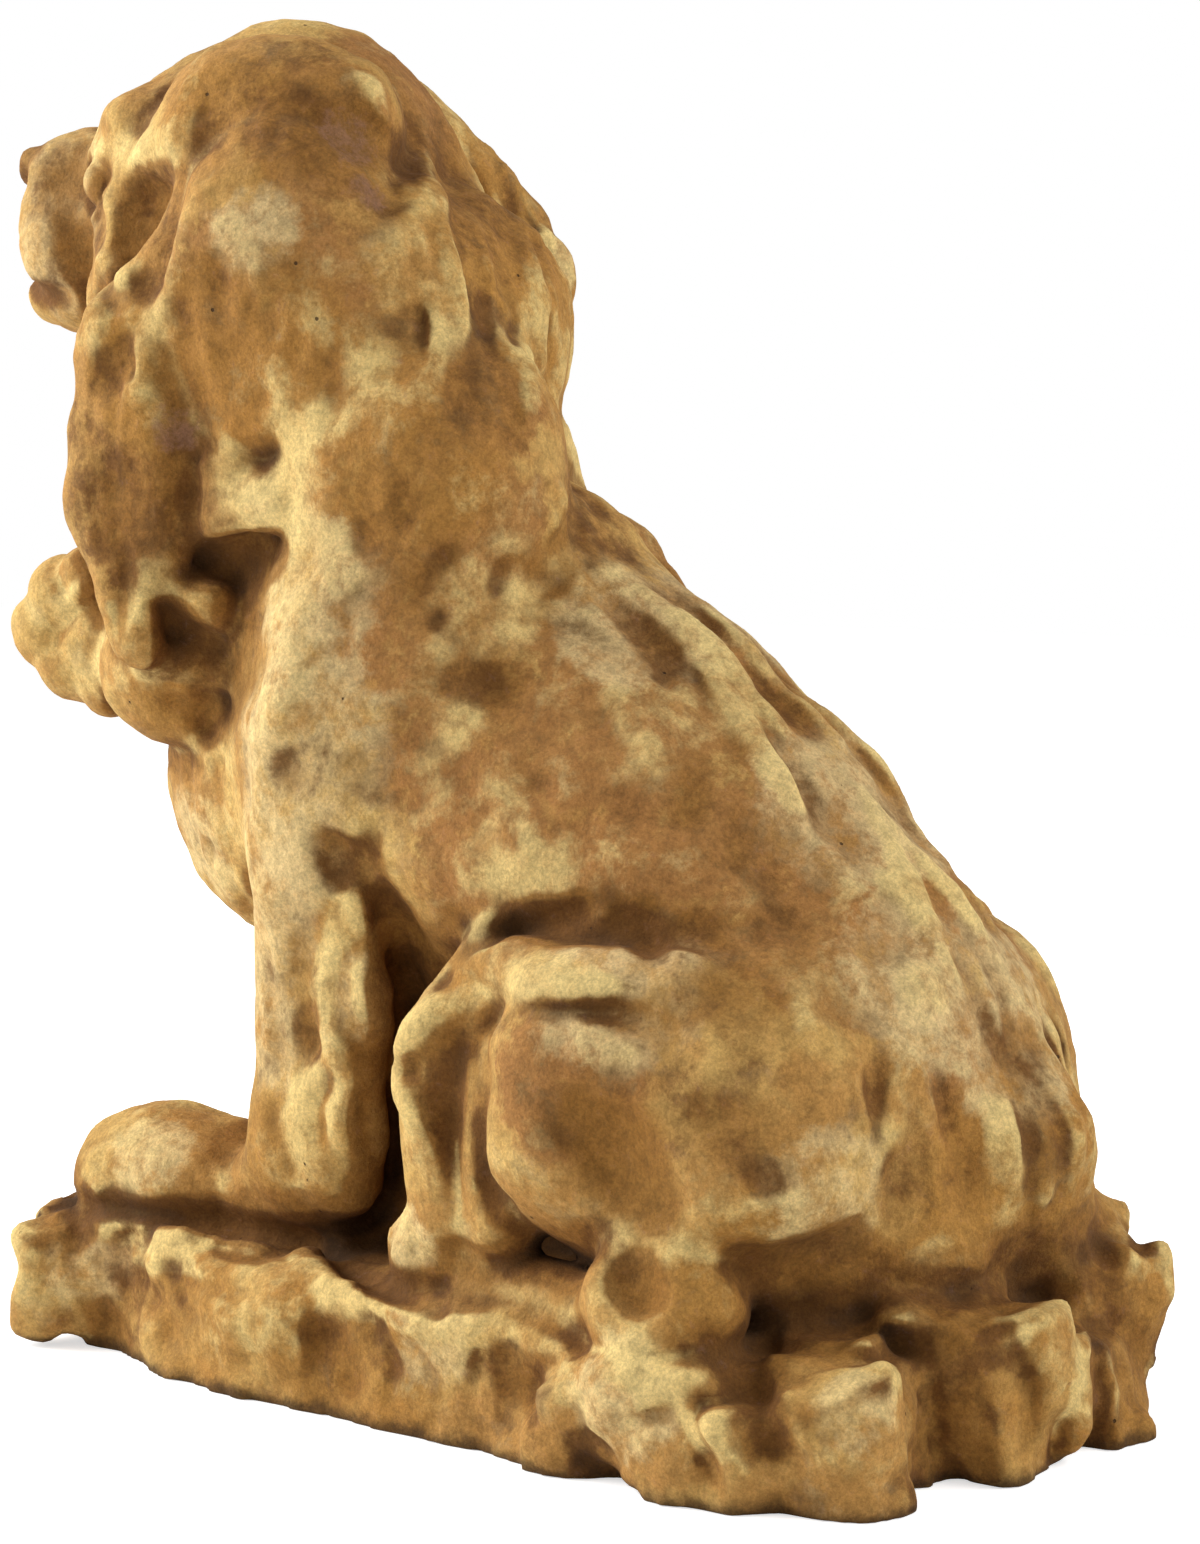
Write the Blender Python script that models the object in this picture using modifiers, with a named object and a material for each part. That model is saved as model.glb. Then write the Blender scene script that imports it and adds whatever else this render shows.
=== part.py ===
"""Concrete garden statue of a sitting spaniel, with a collar and a bow, on a rock base.

The dog and its rocks are one solid casting. Straight steel rods stand in bores that are
open to the underside, because they were pushed into the wet pour from that end.
Axes: +Z is up, the dog faces -Y and its left side is +X. Sizes below are millimetres.
"""
import math

import bmesh
import bpy
import numpy as np
from mathutils import Matrix, Vector

MM = 0.001

# The finished casting is brought to this width, length and height.
STATUE_WIDTH = 219
STATUE_LENGTH = 377
STATUE_HEIGHT = 402

# Reinforcing rods, and the room that each bore leaves round its rod.
NECK_ROD_DIAMETER = 10
BACK_ROD_DIAMETER = 10
FORELEG_ROD_DIAMETER = 6
ROD_CLEARANCE = 0.3
ROD_FOOT_HEIGHT = 3
BORE_OVERSHOOT = 9
ROD_SIDES = 24
ROD_SHARP_ANGLE = 40

# Straight rods: (x, y) of the foot, just inside the underside, and (x, y, z) of the top.
NECK_ROD = ((0, -48), (0, -102, 340))
BACK_ROD = ((0, 104), (0, 2, 214))
LEFT_FORELEG_ROD = ((49, -74), (50, -62, 150))
RIGHT_FORELEG_ROD = ((-49, -74), (-50, -62, 150))

# Sculpting grids: the spacing and the corners of the casting's own, and of the rough one
# on which the strokes are placed. Strokes finer than the least radius are left out.
CLAY_PITCH = 2.6
ROUGH_PITCH = 3.0
GRID_LOW = (-130, -230, -16)
GRID_HIGH = (130, 195, 415)
FAR_OUT = 40.0
REACH = 15.0
ROUGH_REACH = 30.0
FINEST_STROKE = 3.0

# The skin is melted into one on voxels of this size, eased, and thinned out.
MELT_SIZE = 2.8
MELT_PASSES = 2
KEPT_SHARE = 0.077

# The viewpoint from which the strokes are drawn, in metres: its place, its heading (0 looks
# along +Y, 90 along -X) and its tilt. The lens says how wide the view is on its frame.
VIEW_PLACE = (0.875, 0.612, 0.272)
VIEW_HEADING = 125.0
VIEW_TILT = -5.0
LENS = 85.0
SENSOR = 36.0
FRAME_WIDTH = 1200
FRAME_HEIGHT = 1544

# How far along the rays from there the surface is looked for, in metres, and in how many
# steps. Then the pixels between a stroke's points, and how far, in millimetres, a stroke may
# jump before it is parted, or be moved to fit the other side.
NEAREST_RAY = 0.75
FARTHEST_RAY = 1.35
RAY_STEPS = 300
STROKE_STEP = 9.0
WIDEST_STEP = 9.0
FARTHEST_MOVE = 14.0

# How softly neighbouring masses run into each other.
SOFT_JOIN = 12.0
FIRM_JOIN = 6.0
TIGHT_JOIN = 3.0

HEAD_CENTRE = (0, -118, 345)
HEAD_TURN = 15

# The head's masses, from the skull's centre, face towards -Y: centre, radii, turn, join.
HEAD_MASSES = (
    ((0, 0, 0), (56, 58, 58), (0, 0, 0), SOFT_JOIN),
    ((0, -34, 4), (38, 24, 36), (0, 0, 0), SOFT_JOIN),
    ((0, -60, 0), (25, 30, 26), (0, 0, 0), SOFT_JOIN),
    ((0, -69, 11), (23, 20, 18), (0, 0, 0), FIRM_JOIN),
    ((0, -66, -22), (18, 22, 14), (0, 0, 0), FIRM_JOIN),
    ((0, -86, 17), (10, 8, 8), (0, 0, 0), TIGHT_JOIN),
    ((0, 10, 0), (50, 34, 50), (0, 0, 0), SOFT_JOIN),
    ((46, 20, 22), (28, 34, 28), (0, 0, 0), SOFT_JOIN),
)
PAIRED_HEAD_MASSES = (
    ((27, -33, 25), (19, 15, 13), (0, 0, 20), FIRM_JOIN),
    ((34, -26, -22), (20, 24, 30), (0, 0, 0), SOFT_JOIN),
    ((13, -64, -8), (16, 21, 23), (0, 0, 0), FIRM_JOIN),
    ((70, 30, -28), (19, 36, 52), (0, 4, 0), FIRM_JOIN),
    ((64, -14, -56), (15, 24, 36), (8, 0, 0), FIRM_JOIN),
    ((68, -12, -92), (9, 16, 20), (0, 0, 0), FIRM_JOIN),
)
# Rolls: points with their radius.
EAR_ROOT = ((44, 16, 30, 16), (58, 26, 14, 18), (66, 30, -6, 17))
EAR_REAR = ((40, 28, 22, 12), (56, 40, 8, 15), (66, 46, -12, 15), (69, 49, -36, 15), (68, 44, -58, 13))
EAR_LOCK = (
    (62, 4, 6, 11), (66, -4, -18, 12), (60, -22, -44, 14), (58, -31, -66, 15),
    (62, -30, -90, 14), (68, -22, -112, 11), (71, -16, -128, 8),
)

# The body's masses, from the statue's origin.
BODY_MASSES = (
    ((0, -84, 178), (58, 69, 62), (0, 0, 0), SOFT_JOIN),
    ((0, -4, 165), (72, 70, 72), (0, 0, 0), SOFT_JOIN),
    ((0, 38, 140), (72, 62, 64), (0, 0, 0), SOFT_JOIN),
    ((0, 66, 92), (84, 72, 72), (0, 0, 0), SOFT_JOIN),
    ((0, -75, 266), (54, 48, 58), (0, 0, 0), SOFT_JOIN),
    ((0, -64, 308), (50, 42, 48), (0, 0, 0), SOFT_JOIN),
    ((4, -112, 278), (54, 44, 44), (0, 0, 0), SOFT_JOIN),
    ((0, -20, 80), (44, 80, 76), (0, 0, 0), SOFT_JOIN),
    ((6, -94, 252), (56, 48, 28), (0, 0, 0), SOFT_JOIN),
    ((16, -112, 226), (48, 42, 34), (0, 0, 0), SOFT_JOIN),
    ((0, -100, 38), (66, 72, 12), (0, 0, 0), SOFT_JOIN),
    ((18, -80, 330), (34, 26, 28), (0, 0, 0), SOFT_JOIN),
    ((30, -50, 300), (40, 36, 50), (0, 0, 0), SOFT_JOIN),
    ((-24, -86, 296), (34, 30, 46), (0, 0, 0), SOFT_JOIN),
    ((36, -30, 262), (38, 36, 46), (0, 0, 0), SOFT_JOIN),
    ((-30, -78, 262), (34, 32, 44), (0, 0, 0), SOFT_JOIN),
    ((0, 84, 66), (72, 58, 52), (0, 0, 0), SOFT_JOIN),
)
PAIRED_BODY_MASSES = (
    ((46, -46, 196), (34, 48, 62), (0, 0, 0), SOFT_JOIN),
    ((58, 66, 90), (40, 56, 48), (0, 0, 0), SOFT_JOIN),
    ((83, 40, 98), (20, 26, 34), (0, 0, 0), SOFT_JOIN),
    ((86, 80, 46), (18, 24, 20), (0, 0, 0), FIRM_JOIN),
    ((44, -120, 52), (25, 34, 19), (0, 0, 0), FIRM_JOIN),
    ((43, -140, 50), (23, 21, 15), (0, 0, 0), SOFT_JOIN),
    ((64, 24, 31), (26, 60, 12), (0, 0, 0), SOFT_JOIN),
)
BACK = ((0, -27, 222, 42), (0, 2, 188, 41), (0, 34, 156, 45), (0, 62, 126, 52))
TAIL = ((-12, 126, 80, 27), (-22, 128, 60, 22), (-40, 128, 48, 18), (-62, 112, 44, 14))
FORELEG = (
    (50, -51, 190, 34), (50, -55, 150, 28), (49, -60, 120, 25), (49, -64, 90, 23),
    (49, -70, 64, 22), (47, -84, 52, 17),
)
FORELEG_FEATHER = ((60, -38, 150, 9), (65, -38, 124, 10), (64, -44, 90, 10), (60, -50, 62, 10))
BELLY_CURL = ((68, 14, 128, 10), (77, 0, 110, 10), (78, 2, 84, 10), (78, 6, 60, 9))
FLANK_FOLD = ((74, 18, 132, 8), (80, 46, 130, 9), (72, 76, 128, 13))
HIND_FOOT = ((75, -8, 52, 12), (74, 6, 48, 9), (75, 26, 47, 8), (80, 48, 46, 9), (86, 66, 48, 9))

COLLAR_CENTRE = (0, -82, 258)
COLLAR_RADII = (64, 59)
COLLAR_TILT = 12
COLLAR_HALF_HEIGHT = 10
COLLAR_HALF_THICKNESS = 5
BOW_KNOT = ((0, -160, 216), (14, 16, 18), (0, 0, 0), FIRM_JOIN)
# The bow's loop is a fan of pleats, each a roll from the knot to one of these ends.
BOW_GATHER = (14, -152, 218, 12)
BOW_PLEATS = (
    (47, -157, 235, 10), (45, -170, 229, 11), (43, -179, 217, 12), (41, -171, 206, 11),
    (41, -155, 200, 10), (42, -138, 197, 10),
)
BOW_RIBBON = ((54, -124, 238, 7), (62, -108, 232, 9), (62, -95, 228, 7))
BOW_FOOT = ((48, -122, 206), (18, 26, 23), (0, 0, 0), FIRM_JOIN)
BOW_FAN = ((36, -158, 216), (16, 23, 25), (0, 0, 0), FIRM_JOIN)

# The rock base: the slab's outline and thickness, then the rocks: centre, size, turn.
SLAB_THICKNESS = 37
SLAB_ROUND = 7
SLAB_OUTLINE = (
    (68, -147), (88, -68), (94, 10), (98, 80), (86, 126), (54, 143), (10, 150), (-36, 146),
    (-74, 126), (-90, 76), (-92, 0), (-86, -70), (-76, -134), (-50, -168), (-6, -176), (34, -168),
)
ROCKS = (
    ((55, -151, 24), (44, 41, 44), (0, 0, 24)),
    ((84, 88, 18), (48, 50, 40), (6, 0, -12)),
    ((88, 60, 12), (40, 30, 34), (0, 10, -20)),
    ((74, 130, 17), (54, 46, 42), (0, 6, 24)),
    ((82, 112, 10), (44, 40, 40), (10, 0, 40)),
    ((30, 142, 22), (50, 40, 48), (-8, 0, 6)),
    ((2, 147, 16), (36, 34, 44), (0, 0, 20)),
    ((-34, 143, 24), (44, 38, 46), (8, 0, -10)),
    ((-60, 132, 38), (30, 30, 32), (20, 10, 10)),
    ((-22, 149, 14), (44, 34, 38), (0, 0, 14)),
    ((-68, 108, 22), (44, 56, 46), (0, -6, 30)),
    ((-88, 56, 20), (34, 54, 40), (0, 6, 0)),
    ((-84, -20, 19), (36, 60, 40), (0, -5, 4)),
    ((-66, -150, 20), (40, 44, 44), (4, 0, -24)),
)
ROCK_ROUND = 5
# Natural unevenness of the rocks and of the dog: (size, height), in millimetres.
ROCK_WANDER = ((24, 3.6), (11, 2.0), (5, 0.9))
DOG_WANDER = ((15, 1.3), (7, 0.7))
LATTICE = 32
ROCK_FACETS = 9
ROCK_FACET_SHARE = (0.62, 0.88)

# Strokes are drawn as seen in the photograph, by pixels of the 1200 by 1544 frame. Each is
# (kind, radius, depth, pixels), in millimetres: a cut sinks a round groove of that depth,
# a ridge rises by it, and both follow the surface that is seen there.
HEAD_STROKES = (
    # Eye, brow and cheek.
    ("ridge", 10, 6, ((148, 164), (166, 144), (188, 134), (204, 134))),
    ("cut", 3, 4.5, ((126, 180), (150, 192), (176, 190), (198, 178), (220, 144))),
    ("cut", 8, 9, ((140, 198), (152, 212), (143, 232))),
    ("cut", 4, 3, ((150, 226), (144, 262))),
    ("ridge", 4, 2.5, ((112, 194), (114, 243))),
    ("cut", 1.8, 3, ((103, 208), (104, 214))),
    ("cut", 2.2, 4.5, ((135, 266), (137, 271))),
    ("cut", 3, 4, ((102, 273), (116, 292), (122, 314), (121, 347))),
    ("ridge", 4.5, 2.5, ((80, 280), (93, 310), (106, 334), (114, 352))),
    ("cut", 3, 4, ((101, 320), (98, 347))),
    ("cut", 2.5, 2.5, ((56, 228), (60, 238))),
    # The ear's front edge, its slits, pits and lower edge.
    ("cut", 3.2, 5, ((176, 190), (162, 243), (154, 286), (148, 308), (127, 329), (115, 362), (108, 403))),
    ("ridge", 5, 2, ((190, 196), (175, 243), (167, 286), (161, 312), (141, 337), (128, 366), (121, 403))),
    ("cut", 1.6, 3.5, ((150, 330), (139, 351))),
    ("cut", 1.6, 3, ((131, 384), (132, 397))),
    ("cut", 1.6, 2.5, ((219, 196), (220, 200))),
    ("cut", 1.8, 2.5, ((204, 228), (190, 236))),
    ("cut", 1.5, 2.5, ((172, 297), (183, 312))),
    ("cut", 5.5, 7, ((204, 441), (214, 449), (240, 457), (269, 461), (300, 457), (330, 446))),
    ("cut", 3, 5, ((332, 400), (334, 476))),
    ("ridge", 7, 2.5, ((215, 432), (262, 442), (312, 430))),
    ("cut", 5, 1.6, ((206, 336), (236, 352), (262, 350))),
    # The crown's hairline and the locks of the nape.
    ("cut", 3, 1.8, ((289, 103), (312, 128), (340, 158), (336, 185), (328, 209), (352, 207))),
    ("cut", 2.4, 1.8, ((360, 206), (395, 198), (408, 170), (415, 138))),
    ("ridge", 4, 2.5, ((427, 155), (428, 212))),
    ("ridge", 3.5, 2, ((407, 196), (408, 240))),
    ("ridge", 4, 2.5, ((379, 219), (395, 250), (408, 277), (399, 298))),
    ("cut", 2.8, 3, ((435, 103), (455, 160), (474, 221), (494, 298))),
    ("cut", 2.6, 3, ((451, 346), (452, 421))),
    ("cut", 2.2, 2.5, ((474, 320), (476, 350))),
    ("cut", 2.6, 2.5, ((500, 150), (520, 215), (528, 300))),
    ("cut", 2.8, 2.5, ((372, 330), (384, 400), (392, 470))),
    ("cut", 2.6, 2.5, ((520, 330), (522, 400), (534, 460))),
)
BODY_STROKES = (
    # Collar, the bow's pleats and the knobs between bow and chest.
    ("cut", 2, 4, ((192, 470), (187, 498), (183, 525))),
    ("cut", 2.2, 2.5, ((199, 477), (240, 473), (310, 469))),
    ("cut", 3, 4.5, ((206, 522), (249, 537), (297, 541))),
    ("cut", 5, 5, ((158, 541), (232, 560), (299, 550))),
    ("ridge", 3, 1.5, ((95, 581), (54, 615), (41, 631))),
    ("cut", 2.2, 3.5, ((89, 570), (76, 585), (62, 598))),
    ("cut", 2.6, 4.5, ((96, 595), (75, 620), (54, 646))),
    ("cut", 4, 6, ((88, 644), (87, 671))),
    ("cut", 2, 2.5, ((123, 572), (121, 622))),
    ("cut", 2.2, 3.5, ((77, 531), (100, 562))),
    ("cut", 2.2, 5, ((103, 556), (97, 595), (98, 628), (110, 652))),
    ("cut", 2.2, 5, ((126, 530), (128, 595), (121, 634), (111, 654))),
    ("ridge", 4.5, 2.5, ((138, 520), (138, 620), (139, 716))),
    ("cut", 3, 5, ((175, 600), (205, 616), (236, 627))),
    ("cut", 5, 8, ((152, 600), (164, 632))),
    ("ridge", 5, 3, ((158, 674), (188, 674))),
    ("ridge", 4.5, 3, ((190, 673), (216, 679))),
    ("cut", 2, 4.5, ((161, 690), (188, 698))),
    ("cut", 2, 3, ((203, 703), (205, 729))),
    ("ridge", 5, 3, ((205, 742), (217, 744))),
    ("cut", 9, 10, ((252, 618), (236, 670), (226, 726))),
    # The shoulder's edge and the folds on the side.
    ("ridge", 8, 3, ((352, 566), (303, 625), (281, 695), (271, 730))),
    ("cut", 2.4, 2.5, ((441, 564), (462, 540))),
    ("cut", 3.2, 3.2, ((418, 697), (469, 683), (524, 674), (538, 692), (556, 711))),
    ("cut", 3, 3, ((506, 761), (538, 779), (538, 793), (519, 809))),
    ("cut", 3.4, 3.4, ((620, 816), (652, 823), (694, 807), (697, 789), (698, 761), (685, 729))),
    ("cut", 3, 3, ((735, 807), (735, 839), (717, 862))),
    ("cut", 3, 3, ((446, 963), (515, 931), (584, 908), (607, 885))),
    ("cut", 3, 3, ((616, 890), (620, 913), (648, 926), (652, 949), (675, 961))),
    ("cut", 2.2, 3, ((717, 698), (717, 706))),
    ("cut", 2.2, 3, ((708, 740), (709, 748))),
    ("cut", 2.6, 2.6, ((781, 821), (804, 853), (832, 899))),
    ("cut", 2.6, 2.6, ((799, 793), (841, 834), (859, 867))),
    ("cut", 2.6, 2.4, ((721, 642), (767, 692), (813, 729))),
    ("ridge", 12, 2.5, ((430, 660), (490, 650), (540, 655))),
    ("ridge", 12, 2.5, ((560, 770), (610, 790), (665, 780))),
    # Elbow, the dark channel behind the foreleg and the feather's curls.
    ("cut", 4.5, 8, ((334, 836), (340, 862), (344, 896))),
    ("cut", 2.2, 4, ((379, 827), (366, 850))),
    ("cut", 4, 7, ((372, 830), (376, 860), (388, 895), (400, 935), (425, 975))),
    ("cut", 6, 13, ((385, 890), (392, 925), (400, 963))),
    ("cut", 7, 17, ((398, 950), (400, 1015))),
    ("cut", 8, 7, ((430, 960), (452, 985), (442, 1006))),
    ("cut", 8, 12, ((387, 1084), (390, 1146))),
    ("cut", 6, 9, ((352, 962), (348, 1000), (354, 1036), (374, 1052))),
    ("cut", 5, 8, ((392, 946), (390, 1010))),
    ("cut", 3.4, 6, ((316, 1066), (315, 1120), (328, 1152))),
    ("cut", 3, 5, ((340, 1080), (345, 1120))),
    ("ridge", 4, 3.5, ((355, 890), (366, 916), (387, 945))),
    ("ridge", 6, 4.5, ((348, 937), (322, 960), (318, 989), (322, 1028), (335, 1065), (353, 1077), (387, 1075))),
    ("ridge", 4, 3.5, ((371, 955), (361, 973), (363, 992), (374, 1010))),
    ("cut", 1.6, 2.5, ((327, 1015), (335, 1041), (350, 1057))),
    ("ridge", 5, 4, ((317, 1048), (303, 1081), (301, 1112), (309, 1146), (335, 1172))),
    ("ridge", 4.5, 3.5, ((326, 1064), (324, 1094), (331, 1130), (343, 1146), (361, 1106))),
    ("ridge", 6.5, 4, ((364, 1112), (363, 1150), (362, 1186))),
    # Belly curl, thigh and hind foot.
    ("ridge", 5.5, 5.5, (
        (465, 1010), (426, 1021), (400, 1036), (392, 1068), (397, 1089), (413, 1123), (418, 1138),
        (414, 1157), (426, 1175), (452, 1184))),
    ("cut", 2.2, 5, ((411, 1064), (411, 1070))),
    ("cut", 3.6, 7, ((484, 1087), (478, 1146), (489, 1192))),
    ("cut", 3.2, 3.5, ((468, 1052), (486, 1028), (518, 1013), (570, 1007), (640, 1010))),
    ("cut", 6, 5.5, ((473, 932), (520, 946), (580, 946), (640, 944))),
    ("ridge", 7, 3.5, ((486, 966), (520, 980), (580, 984), (645, 986))),
    ("cut", 2.6, 3.2, ((455, 921), (505, 934), (544, 929), (591, 908), (609, 890))),
    ("cut", 3.4, 4.5, ((494, 1069), (489, 1147), (503, 1206), (531, 1236))),
    ("cut", 14, 4, ((588, 1130), (610, 1175), (634, 1212))),
    ("ridge", 6.5, 4.5, (
        (595, 1211), (632, 1238), (664, 1257), (691, 1248), (700, 1215), (698, 1188), (682, 1170))),
    ("cut", 3.2, 3.2, ((682, 1137), (720, 1129), (757, 1133))),
    ("ridge", 4, 3.5, (
        (598, 1252), (594, 1298), (622, 1328), (664, 1323), (679, 1286), (664, 1255))),
    ("cut", 9, 8, ((632, 1276), (637, 1280))),
    ("cut", 2, 3.5, ((396, 1214), (386, 1262))),
    ("cut", 2, 3.5, ((417, 1208), (411, 1266))),
    ("cut", 2.6, 2.4, ((916, 1032), (944, 1091), (967, 1170), (976, 1238))),
    ("cut", 2.8, 2.6, ((971, 977), (1017, 1078), (1031, 1147), (1031, 1238))),
    ("cut", 2.6, 2.2, ((879, 1064), (875, 1150))),
    ("cut", 4, 6, ((710, 1339), (801, 1349), (870, 1353), (962, 1330), (1031, 1298), (1072, 1271))),
)
ROCK_STROKES = (
    ("cut", 3.6, 6, ((742, 1362), (752, 1430), (756, 1500))),
    ("cut", 3.6, 6, ((935, 1380), (940, 1470))),
    ("cut", 3.6, 6, ((999, 1328), (1026, 1392), (1030, 1450))),
    ("cut", 3.4, 4, ((1078, 1246), (1100, 1262))),
    ("cut", 5, 6, ((490, 1345), (520, 1390), (530, 1430))),
    ("cut", 3.4, 4, ((76, 1214), (83, 1302))),
    ("cut", 3.2, 3.5, ((121, 1216), (119, 1302))),
    ("cut", 3.2, 3, ((150, 1250), (240, 1290), (330, 1310))),
    ("cut", 3.2, 3, ((342, 1292), (356, 1350), (364, 1400))),
    ("cut", 3.2, 3, ((820, 1420), (860, 1440), (900, 1436))),
)
# Strokes that the photograph doesn't show, in the statue's own place, on both sides.
PAW_STROKES = (
    ("cut", 2.4, ((36, -168, 66), (37, -172, 50), (36, -168, 38))),
    ("cut", 2.4, ((51, -167, 66), (53, -170, 50), (52, -166, 38))),
)


def turn_matrix(turn):
    """The 3x3 matrix of rotations about X, then Y, then Z, in degrees."""
    matrix = np.eye(3)
    for axis, angle in enumerate(turn):
        c = math.cos(math.radians(angle))
        s = math.sin(math.radians(angle))
        step = np.eye(3)
        i, j = ((1, 2), (2, 0), (0, 1))[axis]
        step[i, i] = step[j, j] = c
        step[i, j] = -s
        step[j, i] = s
        matrix = step @ matrix
    return matrix


HEAD_MATRIX = turn_matrix((0, 0, HEAD_TURN))


def from_head(point):
    """A point given from the skull's centre, in the statue's own place."""
    return HEAD_MATRIX @ np.array(point, float) + np.array(HEAD_CENTRE, float)


def mirrored(path):
    """The same path on the dog's right side."""
    return tuple((-point[0], *point[1:]) for point in path)


def mirrored_points(points, side):
    """An array of points carried to the other side of the head or of the body."""
    flip = np.array((-1, 1, 1))
    if side == "head":
        local = (points - np.array(HEAD_CENTRE)) @ HEAD_MATRIX
        return (local * flip) @ HEAD_MATRIX.T + np.array(HEAD_CENTRE)
    return points * flip


class Clay:
    """A block of space on a regular grid that holds, at each point, the distance in
    millimetres to the surface of what is modelled: negative inside, positive outside."""

    def __init__(self, low, high, pitch, reach):
        self.low = np.array(low, float)
        self.pitch = pitch
        self.reach = reach
        self.count = np.ceil((np.array(high, float) - self.low) / pitch).astype(int) + 1
        self.value = np.full(self.count, FAR_OUT, np.float32)

    def window(self, low, high, margin):
        """The slices of the grid round a box, and open coordinates of their points."""
        first = np.floor((np.array(low, float) - margin - self.low) / self.pitch).astype(int)
        last = np.ceil((np.array(high, float) + margin - self.low) / self.pitch).astype(int) + 1
        first = np.clip(first, 0, self.count)
        last = np.clip(last, 0, self.count)
        if np.any(last <= first):
            return None, None
        slices = tuple(slice(a, b) for a, b in zip(first, last))
        axes = [
            (self.low[i] + self.pitch * np.arange(first[i], last[i])).astype(np.float32)
            for i in range(3)
        ]
        return slices, np.ix_(*axes)

    def join(self, slices, distance, softness):
        """Union with a round fillet: the lesser of both distances, less a quarter of
        softness times the square of how near they are to each other."""
        old = self.value[slices]
        near = np.maximum(softness - np.abs(old - distance), 0) / softness
        self.value[slices] = np.minimum(old, distance) - near * near * softness / 4

    def mass(self, centre, radii, turn, softness, matrix=np.eye(3)):
        """An ellipsoid. Its distance is q(q - 1)/g, where q is the length of the point
        divided by the radii and g the length of the point divided by their squares."""
        centre = np.array(centre, float)
        spin = matrix @ turn_matrix(turn)
        radii = np.array(radii, float)
        half = np.abs(spin) @ radii
        slices, (x, y, z) = self.window(centre - half, centre + half, self.reach)
        if slices is None:
            return
        offsets = [x - centre[0], y - centre[1], z - centre[2]]
        squares = 0
        steep = 0
        for axis in range(3):
            along = sum(spin[i, axis] * offsets[i] for i in range(3))
            squares = squares + (along / radii[axis]) ** 2
            steep = steep + (along / radii[axis] ** 2) ** 2
        q = np.sqrt(squares)
        self.join(slices, q * (q - 1) / np.sqrt(np.maximum(steep, 1e-9)), softness)

    def trace(self, path, margin):
        """The window round a path of (x, y, z, radius) and, in it, the least distance to
        the path's straight runs less the radius, which changes evenly along a run."""
        path = np.array(path, float)
        fat = path[:, 3].max() + margin
        slices, axes = self.window(path[:, :3].min(0), path[:, :3].max(0), fat)
        if slices is None:
            return None, None
        x, y, z = axes
        nearest = np.float32(FAR_OUT)
        for start, end in zip(path, path[1:] if len(path) > 1 else path):
            run = end[:3] - start[:3]
            offsets = [x - start[0], y - start[1], z - start[2]]
            share = sum(run[i] * offsets[i] for i in range(3)) / max(run @ run, 1e-6)
            share = np.clip(share, 0, 1)
            square = sum((offsets[i] - share * run[i]) ** 2 for i in range(3))
            radius = start[3] + share * (end[3] - start[3])
            nearest = np.minimum(nearest, np.sqrt(square) - radius)
        return slices, nearest.astype(np.float32)

    def roll(self, path, softness, margin=None):
        """Add a roll of clay along a path."""
        slices, distance = self.trace(path, self.reach if margin is None else margin)
        if slices is not None:
            self.join(slices, distance, softness)

    def cut(self, path, softness):
        """Take a round groove along a path out of the clay, its lips softened."""
        slices, distance = self.trace(path, softness + self.pitch)
        if slices is None:
            return
        self.value[slices] *= -1
        self.join(slices, distance, softness)
        self.value[slices] *= -1

    def rock(self, centre, size, turn, rounding, softness, seed):
        """A boulder: a box with rounded edges whose corners are struck off by planes at
        chance angles, each at a set share of the way from the centre to the box's corner."""
        chance = np.random.default_rng(seed)
        centre = np.array(centre, float)
        spin = turn_matrix(turn)
        half = np.array(size, float) / 2
        room = np.abs(spin) @ half
        slices, (x, y, z) = self.window(centre - room, centre + room, self.reach)
        if slices is None:
            return
        offsets = [x - centre[0], y - centre[1], z - centre[2]]
        along = [sum(spin[i, axis] * offsets[i] for i in range(3)) for axis in range(3)]
        over = [np.abs(along[i]) - (half[i] - rounding) for i in range(3)]
        outside = np.sqrt(sum(np.maximum(part, 0) ** 2 for part in over))
        inside = np.maximum(np.maximum(over[0], over[1]), over[2])
        distance = outside + np.minimum(inside, 0) - rounding
        for _ in range(ROCK_FACETS):
            way = chance.normal(0, 1, 3)
            way /= np.linalg.norm(way)
            corner = np.abs(way) @ half
            share = chance.uniform(*ROCK_FACET_SHARE)
            plane = sum(way[i] * along[i] for i in range(3)) - share * corner
            near = np.maximum(rounding - np.abs(plane - distance), 0) / rounding
            distance = np.maximum(plane, distance) + near * near * rounding / 4
        self.join(slices, distance, softness)

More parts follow.
